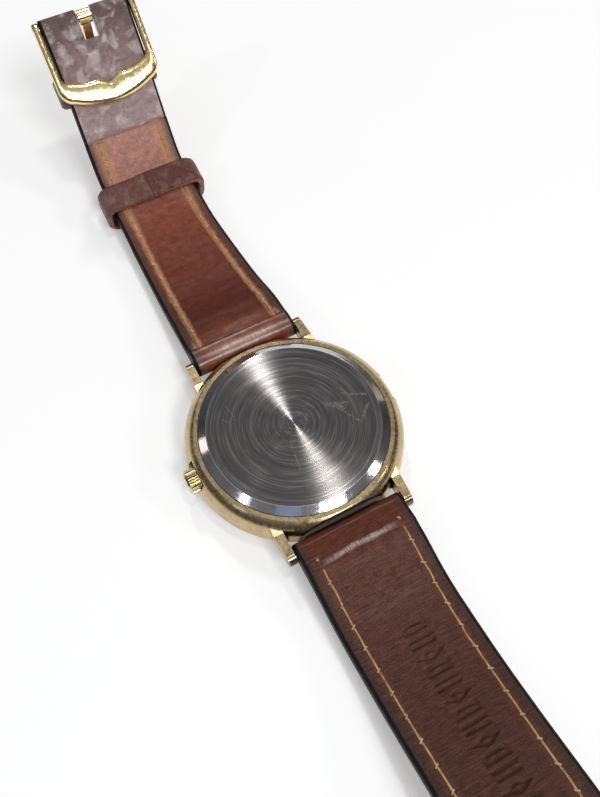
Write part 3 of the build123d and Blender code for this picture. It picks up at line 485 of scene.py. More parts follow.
def brushed_back():
    """Steel back: fine turning rings on the flat, broken into arcs, with scattered scratches."""
    m = Shader("brushed_back", Metallic=1.0, Roughness=0.26, Anisotropic=1.0, Anisotropic_Rotation=0.25)
    radius, place = m.radius()
    ring_space = m.joined(radius)
    fine = m.noise(ring_space, 4.6, 4, 0.75)
    coarse = m.noise(ring_space, 0.9, 3, 0.6)
    middle = m.math("MAXIMUM", radius, 0.5)
    round_it = [m.math("DIVIDE", m.times(place[index], 1.6 / MM), middle) for index in (0, 1)]
    arcs = m.noise(m.joined(m.times(radius, 4.2), *round_it), 1.0, 3, 0.65)
    m.to(m.node("ShaderNodeTangent", direction_type="RADIAL", axis="Z").outputs[0], "Tangent")
    body = m.body()
    haze = m.noise(body, 0.22, 4, 0.6)
    rings = m.mix(0.25, m.mix(0.55, fine, arcs), coarse)
    tones = [(0.38, (0.115, 0.108, 0.106)), (0.5, (0.215, 0.203, 0.20)), (0.62, (0.50, 0.48, 0.47))]
    steel = m.ramp(rings, tones)
    steel = m.mix(m.scaled(haze, 0.4, 0.7, 0.0, 0.4), steel, (0.22, 0.19, 0.187))
    mask = None
    for x0, y0, x1, y1, width in SCRATCHES:
        line = scratch(m, place, (x0, y0), (x1, y1), width)
        mask = line if mask is None else m.math("MAXIMUM", mask, line)
    broken = m.scaled(m.noise(body, 3.2, 4, 0.75), 0.45, 0.60, 0.0, 1.0)
    mask = m.times(mask, broken)
    m.to(m.mix(mask, steel, (0.85, 0.84, 0.82)), "Base Color")
    m.to(m.plus(m.scaled(fine, 0.3, 0.7, 0.23, 0.28), m.times(mask, 0.3)), "Roughness")
    m.bump(m.plus(m.times(fine, 0.7), m.times(arcs, 0.5)), 0.010, 0.4)
    return m.material


def polished_steel():
    """Polished steel with a faint cloud of wear."""
    m = Shader("polished_steel", Metallic=1.0)
    body = m.body()
    cloud = m.noise(body, 0.5, 3, 0.5)
    m.to(m.ramp(cloud, [(0.3, (0.52, 0.51, 0.52)), (0.7, (0.66, 0.65, 0.65))]), "Base Color")
    m.to(m.scaled(m.noise(body, 3.0, 4, 0.6), 0.3, 0.7, 0.06, 0.15), "Roughness")
    m.bump(m.noise(body, 0.8, 2, 0.5), 0.008, 0.3)
    return m.material


def worn_gold(name, bright, deep, dirt_and_shade_tone, roughness, hollow_darkening=0.5, shade_between_lugs=False):
    """Gold plate gone dull: patchy tone, dirt and painted shade where faces meet, and, when asked, painted
    shade on the flat between the lugs and darker lug tips.
    """
    m = Shader(name, Metallic=1.0)
    body = m.body()
    patch = m.noise(body, 0.16, 4, 0.65)
    speck = m.noise(body, 1.9, 4, 0.7)
    high = tuple(min(1.0, c * 1.2) for c in bright)
    tone = m.ramp(m.mix(0.35, patch, speck), [(0.36, deep), (0.52, bright), (0.75, high)])
    # Dirt and painted shade where faces meet: darker where the ambient occlusion is low.
    hollow = m.node("ShaderNodeAmbientOcclusion", samples=8, only_local=True)
    hollow.inputs["Distance"].default_value = 0.7 * MM
    dirt_and_shade = m.scaled(hollow.outputs["AO"], 0.5, 0.97, hollow_darkening, 0.0)
    dirt_and_shade = m.times(dirt_and_shade, m.scaled(speck, 0.3, 0.6, 0.5, 1.4))
    # Painted shade on the flat face between the lugs, under the strap ends, and darker towards the lug tips.
    if shade_between_lugs:
        x, y, _ = m.split(body)
        side, out = m.math("ABSOLUTE", x), m.math("ABSOLUTE", y)
        beyond = m.scaled(out, RELIEF_Y - 0.25, RELIEF_Y - 0.05, 0.0, 1.0)
        within = m.scaled(side, LUG_INSIDE - 0.3, LUG_INSIDE, 1.0, 0.0)
        dirt_and_shade = m.math("MAXIMUM", dirt_and_shade, m.times(beyond, within))
        tips = m.scaled(out, RELIEF_Y + 0.5, BAR_Y + 1.0, 0.0, 0.62)
        dirt_and_shade = m.math("MAXIMUM", dirt_and_shade, m.times(tips, m.scaled(speck, 0.3, 0.6, 0.6, 1.3)))
    m.to(m.mix(m.math("MINIMUM", dirt_and_shade, 1.0), tone, dirt_and_shade_tone), "Base Color")
    m.to(m.scaled(speck, 0.3, 0.75, roughness - 0.05, roughness + 0.12), "Roughness")
    m.bump(m.plus(patch, m.times(speck, 0.3)), 0.018, 0.35)
    return m.material


def plain(name, colour, metallic, roughness):
    """Simple engineering finish with a little cloudiness and tooling grain."""
    m = Shader(name, Metallic=metallic)
    body = m.body()
    cloud = m.noise(body, 0.8, 4, 0.6)
    low = tuple(c * 0.88 for c in colour)
    high = tuple(min(1.0, c * 1.12) for c in colour)
    m.to(m.ramp(cloud, [(0.3, low), (0.7, high)]), "Base Color")
    m.to(m.scaled(cloud, 0.3, 0.7, roughness * 0.85, roughness * 1.2), "Roughness")
    m.bump(m.noise(body, 6.0, 3, 0.6), 0.01, 0.5)
    return m.material


def glass():
    """Clear crystal."""
    m = Shader("crystal_glass", Roughness=0.02, Transmission_Weight=1.0, IOR=1.52)
    cloud = m.noise(m.body(), 0.4, 3, 0.5)
    m.to(m.ramp(cloud, [(0.3, (0.95, 0.97, 0.97)), (0.7, (1.0, 1.0, 1.0))]), "Base Color")
    return m.material


def dial_paint():
    """Warm white dial with a faint ray finish."""
    m = Shader("dial_paint", Roughness=0.35, Metallic=0.35, Coat_Weight=0.4, Coat_Roughness=0.15)
    _, place = m.radius()
    angle = m.math("ARCTAN2", place[1], place[0])
    rays = m.noise(m.joined(m.math("SINE", angle), m.math("COSINE", angle)), 40.0, 3, 0.7)
    m.to(m.ramp(rays, [(0.3, (0.72, 0.68, 0.58)), (0.7, (0.86, 0.83, 0.75))]), "Base Color")
    m.bump(rays, 0.006, 0.4)
    return m.material


NOSE_TONES = {1: (0.20, 0.042, 0.014), -1: (0.135, 0.029, 0.012)}
# Lining of the hole half. The pale hatched band at 2.95 mm is a painted highlight on the ridge where the
# lining starts.
LEATHER_LINING = leather(
    "lining_leather",
    [
        (2.6, NOSE_TONES[-1]),
        (4.6, (0.145, 0.060, 0.043)),
        (12, (0.135, 0.055, 0.040)),
        (28, (0.105, 0.037, 0.025)),
        (60, (0.100, 0.038, 0.027)),
        (110, (0.12, 0.050, 0.036)),
    ],
    0.42,
    relief=2.2,
    rub=((0.20, 0.10, 0.06), 0.3),
    margin=(0.060, 0.034, 0.028),
    shine=((3.3, 1.3, 0.22), (-0.3, 2.6, 0.10)),
    glaze=(0.0, 4.0, 0.22),
    painted_highlight=(2.95, 0.5, 6.5, (0.70, 0.60, 0.56)),
)
# Inner face of the buckle half: darkest near the lug and paler towards the keeper; the pale tones past the
# keeper are partly faded leather and partly painted sheen. The pale hatched band at 0.35 mm is a painted
# highlight across the roll.
LEATHER_BUCKLE = leather(
    "buckle_lining_leather",
    [
        (2.8, NOSE_TONES[1]),
        (6.5, (0.105, 0.019, 0.008)),
        (18, (0.165, 0.029, 0.011)),
        (32, (0.26, 0.070, 0.040)),
        (44, (0.50, 0.235, 0.18)),
        (60, (0.54, 0.27, 0.21)),
    ],
    0.48,
    relief=1.1,
    rub=((0.64, 0.33, 0.175), 0.85),
    margin=(0.085, 0.050, 0.045),
    shine=((-0.3, 3.4, 0.20),),
    glaze=(0.6, 4.2, 0.75),
    painted_highlight=(0.35, 1.0, 6.5, (0.66, 0.46, 0.35)),
)
# Folded-over leather at the buckle end: its pale tone and pale blotches are partly the leather's own greyer
# look and partly painted sheen; it darkens towards the buckle end.
LEATHER_FOLD_AND_SHEEN = leather(
    "fold_leather_and_sheen",
    [(40, (0.35, 0.24, 0.225)), (57, (0.42, 0.30, 0.29)), (70, (0.15, 0.090, 0.082))],
    0.42,
    blotches=(0.78, 0.67, 0.66),
    relief=0.8,
)
LEATHER_NOSE = {
    side: leather(f"nose_leather_{label}", [(0, NOSE_TONES[side]), (90, (0.15, 0.035, 0.015))], 0.36)
    for side, label in ((1, "buckle"), (-1, "hole"))
}
LEATHER_KEEPER = leather(
    "keeper_leather",
    [(0, (0.16, 0.060, 0.048)), (20, (0.14, 0.050, 0.038)), (50, (0.18, 0.078, 0.062))],
    0.42,
    blotches=(0.30, 0.18, 0.16),
    relief=1.2,
)
LEATHER_RAW = leather("raw_cut_leather", [(0, (0.34, 0.17, 0.10)), (60, (0.28, 0.13, 0.08))], 0.6, relief=1.4)
EDGE = edge_paint()
THREAD = thread("waxed_thread", (0.40, 0.19, 0.07), (0.60, 0.33, 0.13), (0.74, 0.47, 0.23))
KNOTS = thread("worn_thread_knots", (0.50, 0.29, 0.14), (0.66, 0.44, 0.27), (0.78, 0.59, 0.42))
BACK_FLAT = brushed_back()
STEEL = polished_steel()
# The third colour of each gold is for dirt and painted shade where faces meet; the case gold also takes the
# painted shade between the lugs.
GOLD = worn_gold("worn_gold", (0.58, 0.44, 0.25), (0.38, 0.275, 0.15), (0.014, 0.009, 0.004), 0.22, 1.0, True)
CROWN_GOLD = worn_gold("crown_gold", (0.66, 0.56, 0.31), (0.50, 0.40, 0.20), (0.05, 0.035, 0.015), 0.2, 0.8)
BUCKLE_GOLD = worn_gold("buckle_gold", (0.95, 0.74, 0.38), (0.82, 0.60, 0.28), (0.25, 0.15, 0.06), 0.14, 0.3)

# Colour, metallic and roughness of the small pieces' finishes.
FINISHES = {
    "gasket_nylon": ((0.72, 0.72, 0.66), 0, 0.45),
    "gasket_rubber": ((0.02, 0.02, 0.02), 0, 0.6),
    "fine_steel": ((0.50, 0.50, 0.51), 1, 0.28),
    "bar_steel": ((0.42, 0.42, 0.43), 1, 0.3),
    "battery_steel": ((0.60, 0.60, 0.60), 1, 0.2),
    "holder_plastic": ((0.75, 0.73, 0.68), 0, 0.5),
    "dial_ring_metal": ((0.66, 0.50, 0.26), 1, 0.25),
    "hand_gold": ((0.80, 0.60, 0.28), 1, 0.16),
    "movement_nickel": ((0.60, 0.57, 0.50), 1, 0.3),
    "movement_brass": ((0.74, 0.54, 0.25), 1, 0.26),
    "board_green": ((0.02, 0.12, 0.06), 0, 0.3),
    "coil_copper": ((0.50, 0.16, 0.06), 0.6, 0.3),
    "strap_core": ((0.20, 0.12, 0.07), 0, 0.7),
}
SLOT_LOOKS = {
    "case_gold": GOLD,
    "buckle_gold": BUCKLE_GOLD,
    "case_back_steel": STEEL,
    "crystal_glass": glass(),
    "dial_paint": dial_paint(),
    "strap_leather": LEATHER_KEEPER,
    "lining_leather": LEATHER_LINING,
    "strap_thread": THREAD,
    **{name: plain(name, *finish) for name, finish in FINISHES.items()},
}
for entry in frame["record"]["subparts"]:
    node = NODES[entry["node"]]
    node.data.materials.clear()
    node.data.materials.append(SLOT_LOOKS[entry["material_slot"]])
NODES["crown"].data.materials[0] = CROWN_GOLD
for polygon in NODES["crown"].data.polygons:
    polygon.use_smooth = False


# ---- straps
def pucker(strap, row, x, s):
    """Depth of the stitch channel and the little cross folds at each stitch hole."""
    line = level(strap["wide"], s) / 2 - STITCH_INSET
    off = abs(x) - line
    if abs(off) > 2.2 or not row[0] - 1.5 <= s <= row[1] + 1.5:
        return 0.0
    inside = smooth_step(row[0] - 1.0, row[0], s) * smooth_step(row[1] + 1.0, row[1], s)
    phase = (s - row[0]) / STITCH_PITCH
    to_hole = abs(phase - round(phase)) * STITCH_PITCH
    channel = -0.13 * bump_at(off, 0, 0.38)
    hole = -0.16 * bump_at(off, 0, 0.28) * bump_at(to_hole, 0, 0.35)
    fold = -0.11 * bump_at(off, 0.7, 0.9) * bump_at(to_hole, 0, 0.26)
    puff = 0.06 * bump_at(off, 0.9, 0.6) * bump_at(to_hole, STITCH_PITCH / 2, 0.9)
    return inside * (channel + hole + fold + puff)


def wrinkle(x, s, seed):
    """Soft unevenness of worn leather, in mm."""
    broad = noise.noise(Vector((x * 0.10, s * 0.13, seed)))
    cross = noise.noise(Vector((x * 0.16, s * 0.85, seed + 9.0)))
    fine = noise.noise(Vector((x * 0.5, s * 1.7, seed + 21.0)))
    return 0.10 * broad + 0.035 * cross + 0.018 * fine


# The pressed marks' stretch, pitch, middle line, half sizes and groove, in mm.
MARKS = (15.6, 57.6)
MARK_PITCH = 2.1
MARK_X = 0.6
MARK_HALF = (1.75, 0.68)
GROOVE_HALF = 0.22
GROOVE_DEEP = 0.38


def pressed_marks(x, s):
    """A generic pressed pattern along the lining: hollow boxes, paired bars and hollow diamonds in turn."""
    if not MARKS[0] <= s <= MARKS[1]:
        return 0.0
    number = math.floor((s - MARKS[0]) / MARK_PITCH)
    along = s - MARKS[0] - (number + 0.5) * MARK_PITCH
    across = x - MARK_X
    kind = number % 3
    if kind == 0:
        outside = max(abs(across) - MARK_HALF[0], abs(along) - MARK_HALF[1])
        gap = abs(outside + GROOVE_HALF)
    elif kind == 1:
        bar = abs(abs(along) - MARK_HALF[1] + GROOVE_HALF)
        gap = max(bar, abs(across) - MARK_HALF[0] + GROOVE_HALF)
    else:
        ring = abs(across) / MARK_HALF[0] + abs(along) / MARK_HALF[1]
        gap = abs(ring - 0.8) * MARK_HALF[1]
    return -GROOVE_DEEP * (1 - smooth_step(GROOVE_HALF * 0.6, GROOVE_HALF * 1.7, gap))


def half_wide(strap, s, tip_end=None):
    """Half the width at s, closing in a rounded point at the free tip."""
    half = level(strap["wide"], s) / 2
    if tip_end and s > tip_end - TIP_LONG:
        t = (s - tip_end + TIP_LONG) / TIP_LONG
        half *= math.sqrt(max(0.0, 1 - t ** 2.6)) * (1 - 0.10 * t) + 0.002
    return half


def spaced(start, stop, count):
    return [start + (stop - start) * i / count for i in range(count + 1)]


def eased(start, span, turn):
    """Places that draw together towards the far end of a span; turn is the step in degrees."""
    return [start + span * math.sin(math.radians(a)) for a in range(0, 91, turn)]


def stations(start, stop, step, dense, extra=()):
    """Places along the strap, with a denser stretch (start, stop, count) and extra ones."""
    places = spaced(start, stop, round((stop - start) / step)) + spaced(*dense)
    return sorted({round(p, 4) for p in places} | set(extra))


# Faces across a band and down each of its sides, and how far the side stands out in mm.
BAND_ACROSS = 72
BAND_SIDE = 5
SIDE_BULGE = 0.06


def band(name, strap, places, top, bottom, half, corner, materials):
    """Closed band: rings across the strap whose upper and lower heights come from functions of (x, s)."""
    rings = []
    uvs = []
    edges = []
    for s in places:
        width = half(s)
        thin = min(top(x, s) - bottom(x, s) for x in (width, -width))
        turn = max(min(corner, 0.4 * thin), 0.001)
        ring = []
        for hand, face in ((1, top), (-1, bottom)):
            for i in range(BAND_ACROSS + 1):
                x = hand * (-width + 2 * width * i / BAND_ACROSS)
                ring.append((x, face(x, s) - hand * round_drop(width - abs(x), turn)))
            here = top(hand * width, s) - turn
            there = bottom(hand * width, s) + turn
            if hand < 0:
                here, there = there, here
            for i in range(1, BAND_SIDE):
                bulge = SIDE_BULGE * math.sin(math.pi * i / BAND_SIDE) * min(1.0, width)
                ring.append((hand * (width + bulge), here + (there - here) * i / BAND_SIDE))
        rings.append([on_strap(strap, x, s, h) for x, h in ring])
        uvs += [(x, s) for x, h in ring]
        edges += [(max(0.0, width - abs(x)), s) for x, h in ring]
    lower_start = BAND_ACROSS + BAND_SIDE

    def slot_of(i, j):
        if 1 < j < BAND_ACROSS - 2:
            return 0
        return 2 if lower_start <= j < lower_start + BAND_ACROSS else 1

    return rings_object(name, rings, materials, uvs, edges, slot_of=slot_of)


def round_drop(edge, corner):
    """How far a rounded edge falls at a distance from the side."""
    if edge >= corner:
        return 0.0
    return corner - math.sqrt(max(0.0, corner * corner - (corner - edge) ** 2))


def end_round(s, end, radius, sense):
    """Height factor of a half-round end: 1 away from it, 0 at its tip."""
    inside = sense * (end - s)
    if inside >= radius:
        return 1.0
    return math.sqrt(max(0.0009, 1 - ((radius - inside) / radius) ** 2))


# Ridge at the lining's start, bulge of the roll and the broad dip behind it, in mm by side.
RIDGE = {1: 0.0, -1: 0.24}
SEAM_STEP = 0.012
BULGE = {1: 0.42, -1: 0.05}
DIP = {1: 0.22, -1: 0.0}


def strap_leather(name, strap, length, row, seed, fold_from=None, end_radius=None):
    """The outer leather with its padding, and the lining, as two closed bands. The buckle half folds
    back at fold_from and ends in a round of end_radius; the other half ends in a pointed tip."""
    side = strap["side"]
    tip_end = None if fold_from else length

    def thick(s):
        return level(strap["thick"], s) / 2

    def half(s):
        return half_wide(strap, s, tip_end)

    def upper_end(s):
        factor = end_round(s, -LOOP_R, LOOP_R, -1)
        if end_radius:
            factor *= end_round(s, length + end_radius, end_radius, 1)
        return factor

    def folded(s):
        """1 where the outer leather also forms the inner face."""
        shown = 1 - smooth_step(FOLD_TAIL, FOLD_TAIL + 0.25, s)
        if fold_from:
            shown = max(shown, smooth_step(fold_from - 0.1, fold_from + 0.1, s))
        return shown

    def swell(s):
        return BULGE[side] * bump_at(s, 0.9, 1.5) - DIP[side] * bump_at(s, 4.4, 1.7)

    def upper_top(x, s):
        shown = folded(s)
        relief = wrinkle(x, s, seed) * shown + swell(s)
        if s > FOLD_TAIL + 1:
            relief -= 0.10 * shown * smooth_step(0.6, 1.0, abs(x) / half_wide(strap, s))
        return thick(s) * upper_end(s) - SKIN + (SKIN + relief * upper_end(s)) * shown

    def upper_bottom(x, s):
        reach = abs(x) / max(0.5, half(s))
        line = level(strap["wide"], s) / 2 - STITCH_INSET
        crown = 0.24 * smooth_step(line - 2.2, line + 0.3, abs(x)) * smooth_step(1.0, 7.0, s)
        crown *= 0.35 if s > 60 else 1.0
        relief = crown + 0.02 * reach - 0.4 * wrinkle(x, s, seed + 40)
        return (relief - thick(s)) * upper_end(s) - 0.8 * pucker(strap, row, x, s)

    def lining_top(x, s):
        margin = level(strap["wide"], s) / 2
        relief = wrinkle(x, s, seed) + pucker(strap, row, x, s)
        relief -= 0.14 * smooth_step(margin - 1.0, margin, abs(x))
        relief += RIDGE[side] * bump_at(s, FOLD_TAIL + 1.1, 0.75) + swell(s)
        relief -= SEAM_STEP * (1 - smooth_step(FOLD_TAIL, FOLD_TAIL + 3.0, s))
        if fold_from:
            relief -= 0.30 * smooth_step(FOLD_SEAM - 0.35, FOLD_SEAM, s)
        else:
            relief += pressed_marks(x, s)
        return thick(s) + relief

    def lining_bottom(x, s):
        return thick(s) - SKIN + 0.01

    tip_places = eased(length - TIP_LONG, TIP_LONG, 5) if tip_end else []
    end_places = eased(length, end_radius, 9) if end_radius else []
    nose = eased(-LOOP_R, LOOP_R, 6)
    places = stations(0.0, length, 0.45, (FOLD_TAIL, FOLD_TAIL + 0.3, 3), nose + end_places + tip_places)
    lining_end = fold_from or length
    dense = (lining_end - 0.5, lining_end, 4) if fold_from else (*MARKS, 280)
    lining_places = stations(FOLD_TAIL - 0.3, lining_end, 0.30, dense, tip_places)
    lining_leather = LEATHER_BUCKLE if fold_from else LEATHER_LINING
    upper_looks = [lining_leather, EDGE, LEATHER_NOSE[side]]
    lining_looks = [lining_leather, EDGE, LEATHER_LINING]
    upper = band(f"{name}_upper_leather", strap, places, upper_top, upper_bottom, half, 0.30, upper_looks)
    lining = band(
        f"{name}_lining_leather", strap, lining_places, lining_top, lining_bottom, half, 0.22, lining_looks
    )
    return upper, lining


def repaint_fold_and_sheen(obj, start):
    """Give the faces beyond a place along the strap the fold material: the greyer folded-over leather, made
    paler in part by painted sheen.
    """
    obj.data.materials.append(LEATHER_FOLD_AND_SHEEN)
    last = len(obj.data.materials) - 1
    layer = obj.data.uv_layers["strap"].data
    for polygon in obj.data.polygons:
        if polygon.material_index == 0 and layer[polygon.loop_start].uv[1] > start:
            polygon.material_index = last


def tube(path, radius, sides):
    """Rings of a slightly flattened tube along a short list of points."""
    rings = []
    for i, point in enumerate(path):
        ahead = path[min(i + 1, len(path) - 1)] - path[max(i - 1, 0)]
        ahead.normalize()
        across = ahead.cross(Vector((0, 0.2, 1))).normalized()
        rings.append(circle(point, across * radius, across.cross(ahead) * (radius * 0.8), sides))
    return rings


def skin_tubes(name, groups, materials):
    """One object from many short closed tubes given as (rings, material index), u round and v along each."""
    verts = []
    faces = []
    uvs = []
    slots = []
    for rings, slot in groups:
        more, _ = skin(rings, len(verts))
        faces += more
        slots += [slot] * len(more)
        for i, ring in enumerate(rings):
            verts += ring
            uvs += [(k / len(ring) * 2, i * 0.5) for k in range(len(ring))]
    obj = make_object(name, verts, faces, slots, materials, uvs)
    outward(obj)
    return obj


def stitch_arch(t, rise, sunk):
    """Height of a stitch over the leather at t of its length."""
    return THREAD_R * rise * math.sin(math.pi * t) ** 0.5 - sunk


def stitch_rows(name, strap, row, seed, corner=None):
    """Two rows of saddle stitches on both faces, with a small crossing at each hole."""
    groups = []
    places = spaced(*row, round((row[1] - row[0]) / STITCH_PITCH))

    def line(s):
        return level(strap["wide"], s) / 2 - STITCH_INSET

    def surface(s):
        return level(strap["thick"], s) / 2

    for face, sunk in ((1, 0.0), (-1, 0.40)):
        for hand in (1, -1):
            for number, (a, b) in enumerate(zip(places, places[1:])):
                drift = 0.30 * noise.noise(Vector((number * 1.7, hand * 3.1, seed)))
                path = []
                for t in spaced(0, 1, 9):
                    s = a + 0.12 + (b - a - 0.24) * t
                    x = hand * (line(s) + drift * math.sin(math.pi * t))
                    height = surface(s) + stitch_arch(t, 0.8, 0.20)
                    path.append(on_strap(strap, x, s, face * height + sunk))
                groups.append((tube(path, THREAD_R * MM, 8), 0))
            for number, s in enumerate(places):
                lean = 0.45 + 0.6 * noise.noise(Vector((number * 2.3, hand, seed + 5)))
                reach = 0.62 + 0.5 * noise.noise(Vector((number * 1.1, hand * 2, seed + 8)))
                path = []
                for t in spaced(-0.5, 0.5, 5):
                    height = surface(s) - 0.13 - 0.5 * t * t
                    x = hand * line(s) + t * reach
                    path.append(on_strap(strap, x, s + t * lean * hand, face * height + sunk))
                groups.append((tube(path, THREAD_R * 0.9 * MM, 7), 1))
    if corner:
        s = FOLD_SEAM - 0.35
        for hand in (1, -1):
            path = []
            for t in spaced(0, 1, 6):
                height = surface(s) + stitch_arch(t, 0.9, 0.12)
                path.append(on_strap(strap, hand * (line(s) - corner * t), s, height))
            groups.append((tube(path, THREAD_R * MM, 8), 0))
    return skin_tubes(name, groups, [THREAD, KNOTS])


def strap_frame(strap, s):
    """Middle point in metres and the along and outward directions at s."""
    out, up, slope = spine(strap, s)
    along = Vector((0, strap["side"] * math.cos(slope), math.sin(slope)))
    inner = Vector((0, -strap["side"] * math.sin(slope), math.cos(slope)))
    return Vector((level(strap["lean"], s), strap["side"] * out, up)) * MM, along, inner


def box_cutter(centre, axes, sizes):
    """Closed box for cutting, from its centre, three directions and three full sizes."""
    a, b, c = (axis * (size / 2) for axis, size in zip(axes, sizes))
    return rings_object("cutter", [[centre + d + e for e in (-a - b, a - b, a + b, b - a)] for d in (-c, c)])


def punch_cutter(s):
    """Round cutter through the punched hole at s."""
    middle, _, inner = strap_frame(HOLE_STRAP, s)
    side = inner.orthogonal().normalized() * (PUNCH_R * MM)
    other = inner.cross(side)
    return rings_object("cutter", [circle(middle + inner * (end * MM), side, other, 40) for end in (-4, 4)])


buckle_upper, buckle_lining = strap_leather(
    "buckle_strap", BUCKLE_STRAP, BUCKLE_LONG, BUCKLE_ROW, 3.0, FOLD_SEAM, 1.45
)
hole_upper, hole_lining = strap_leather("hole_strap", HOLE_STRAP, HOLE_LONG, HOLE_ROW, 7.0)
repaint_fold_and_sheen(buckle_upper, 20.0)

# The slot for the tongue, cut at the buckle's pivot.
SLOT = (2.8 * MM, 3.7 * MM, 5.2 * MM)
pivot, pivot_along, pivot_inner = strap_frame(BUCKLE_STRAP, BUCKLE_LONG)
cut(buckle_upper, [box_cutter(pivot - pivot_along * (0.9 * MM), (X_AXIS, pivot_inner, pivot_along), SLOT)])
for piece in (hole_upper, hole_lining):
    cut(piece, [punch_cutter(s) for s in PUNCHED])
buckle_thread = stitch_rows("buckle_strap_stitching", BUCKLE_STRAP, BUCKLE_ROW, 1.0, corner=1.5)
hole_thread = stitch_rows("hole_strap_stitching", HOLE_STRAP, HOLE_ROW, 2.0)

for piece, body, slot, stood_for in (
    (buckle_upper, "buckle_strap", "strap_leather", ("buckle_strap_upper", "buckle_strap_filler")),
    (buckle_lining, "buckle_strap", "lining_leather", ("buckle_strap_lining",)),
    (buckle_thread, "buckle_strap", "strap_thread", ("buckle_strap_thread",)),
    (hole_upper, "hole_strap", "strap_leather", ("hole_strap_upper", "hole_strap_filler")),
    (hole_lining, "hole_strap", "lining_leather", ("hole_strap_lining",)),
    (hole_thread, "hole_strap", "strap_thread", ("hole_strap_thread",)),
):
    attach(piece, body)
    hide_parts(*stood_for)


# ---- keepers
def rounded_loop(half_x, low, high):
    """Points and normals round a rounded rectangle in (x, h), starting at the top middle."""
    radius = 1.1
    points = [(Vector((0, high)), Vector((0, 1)))]
    corners = (
        (half_x - radius, high - radius, 90),
        (half_x - radius, low + radius, 0),
        (-half_x + radius, low + radius, -90),
        (-half_x + radius, high - radius, -180),
    )
    for x, h, start in corners:
        for degrees in spaced(start, start - 90, 8):
            angle = math.radians(degrees)
            normal = Vector((math.cos(angle), math.sin(angle)))
            points.append((Vector((x, h)) + normal * radius, normal))
    return resample(points, 120)


def resample(points, count):
    """Even spacing round a closed list of (point, normal)."""
    ring = points + [points[0]]
    lengths = [0.0]
    for (a, _), (b, _) in zip(ring, ring[1:]):
        lengths.append(lengths[-1] + (b - a).length)
    total = lengths[-1]
    result = []
    j = 0
    for i in range(count):
        target = total * i / count
        while lengths[j + 1] < target:
            j += 1
        t = (target - lengths[j]) / max(1e-9, lengths[j + 1] - lengths[j])
        point = ring[j][0].lerp(ring[j + 1][0], t)
        normal = ring[j][1].lerp(ring[j + 1][1], t).normalized()
        result.append((point, normal))
    return result


# Slant of the keeper's lapped end, in turns per mm across the band, and the rounding of its edges.
LAP_SLANT = 0.016
KEEPER_EDGE = 0.38
KEEPER_ACROSS = 12


def keeper(name, s, half_x, low, high, wall, length, lap, seed, node, body):
    """A leather band bent into a loop, its ends lapped on the inner side, with rounded cut edges."""
    centre, along, inner = strap_frame(BUCKLE_STRAP, s)
    loop = rounded_loop(half_x, low, high)
    half = length / 2
    rings = []
    uvs = []
    for number, (point, normal) in enumerate(loop):
        turn = number / len(loop)
        torn = bump_at(turn, 0.045, 0.045) if lap else 0.0
        outer = wall + 0.05 * noise.noise(Vector((turn * 9, seed, 0)))
        profile = []
        for v in spaced(-half, half, KEEPER_ACROSS):
            fall = round_drop(half - abs(v), KEEPER_EDGE)
            lapped = (turn + LAP_SLANT * v) % 1.0
            extra = lap * smooth_step(0.0, 0.010, lapped) * (1 - smooth_step(0.18, 0.42, lapped))
            dent = 0.06 * noise.noise(Vector((v * 0.5, turn * 22, seed + 3)))
            dent += 0.22 * torn * noise.noise(Vector((v * 1.6 + turn * 70, turn * 26 - v * 0.5, seed + 6)))
            profile.append((v, outer + extra - fall + dent * (1 - fall)))
        for v in spaced(half, -half, KEEPER_ACROSS):
            profile.append((v, round_drop(half - abs(v), 0.2)))
        ring = []
        for v, out in profile:
            flat = point + normal * out
            ring.append(centre + (X_AXIS * flat.x + inner * flat.y + along * v) * MM)
            uvs.append((v, turn * 52 + seed * 10))
        rings.append(ring)

    def slot_of(i, j):
        return 1 if j in (KEEPER_ACROSS, 2 * KEEPER_ACROSS + 1) else 0

    obj = rings_object(name, rings, [LEATHER_KEEPER, LEATHER_RAW], uvs, slot_of=slot_of, loop=True)
    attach(obj, body)
    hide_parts(node)


KEEPER_AT = 38.4
KEEPER_TOP = level(BUCKLE_STRAP["thick"], KEEPER_AT) / 2 + 0.45
keeper(
    "free_keeper_loop", KEEPER_AT, 8.4, KEEPER_TOP - 4.8, KEEPER_TOP, 1.0, 5.2, 0.32, 1.0,
    "free_keeper", "free_keeper",
)
FIXED_AT = 59.5
FIXED_CORE = level(BUCKLE_STRAP["thick"], FIXED_AT) / 2 - SKIN - 0.08
keeper(
    "fixed_keeper_loop", FIXED_AT, 8.15, -4.4, -FIXED_CORE, 0.9, 5.0, 0.0, 2.0,
    "fixed_keeper", "buckle_strap",
)


# ---- turned steel back
def turned(name, profile, origin, radial, axis, count, materials, **looks):
    """Turned solid from a section of (radius, place on the axis) in mm. radial holds two directions."""
    side, other = radial
    rings = []
    for radius, place in profile:
        rings.append(circle(origin + axis * (place * MM), side * (radius * MM), other * (radius * MM), count))
    return rings_object(name, rings, materials, **looks)


# The back's flat, its bevel down to the rim, and the skirt that snaps into the case, in mm.
BACK_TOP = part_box("case_back")[1].z / MM
AXIS_R = 0.02
FLAT_R = 13.33
FLAT_STEPS = 14
RIM_R = 14.64
RIM_Z = 6.62
RIM_LOW = 6.0
SKIRT_R = 14.1
SKIRT_INNER_R = 13.55
SKIRT_LOW = 5.3
INSIDE_Z = 6.7
back_profile = [(AXIS_R, BACK_TOP)]
back_profile += [(FLAT_R * i / FLAT_STEPS, BACK_TOP) for i in range(1, FLAT_STEPS)]
back_profile += [(FLAT_R - 0.07, BACK_TOP), (FLAT_R, BACK_TOP - 0.012), (FLAT_R + 0.07, BACK_TOP - 0.05)]
for t in (0.15, 0.35, 0.55, 0.75, 0.92):
    back_profile.append((FLAT_R + (RIM_R - FLAT_R) * t, BACK_TOP - (BACK_TOP - RIM_Z) * t - 0.015))
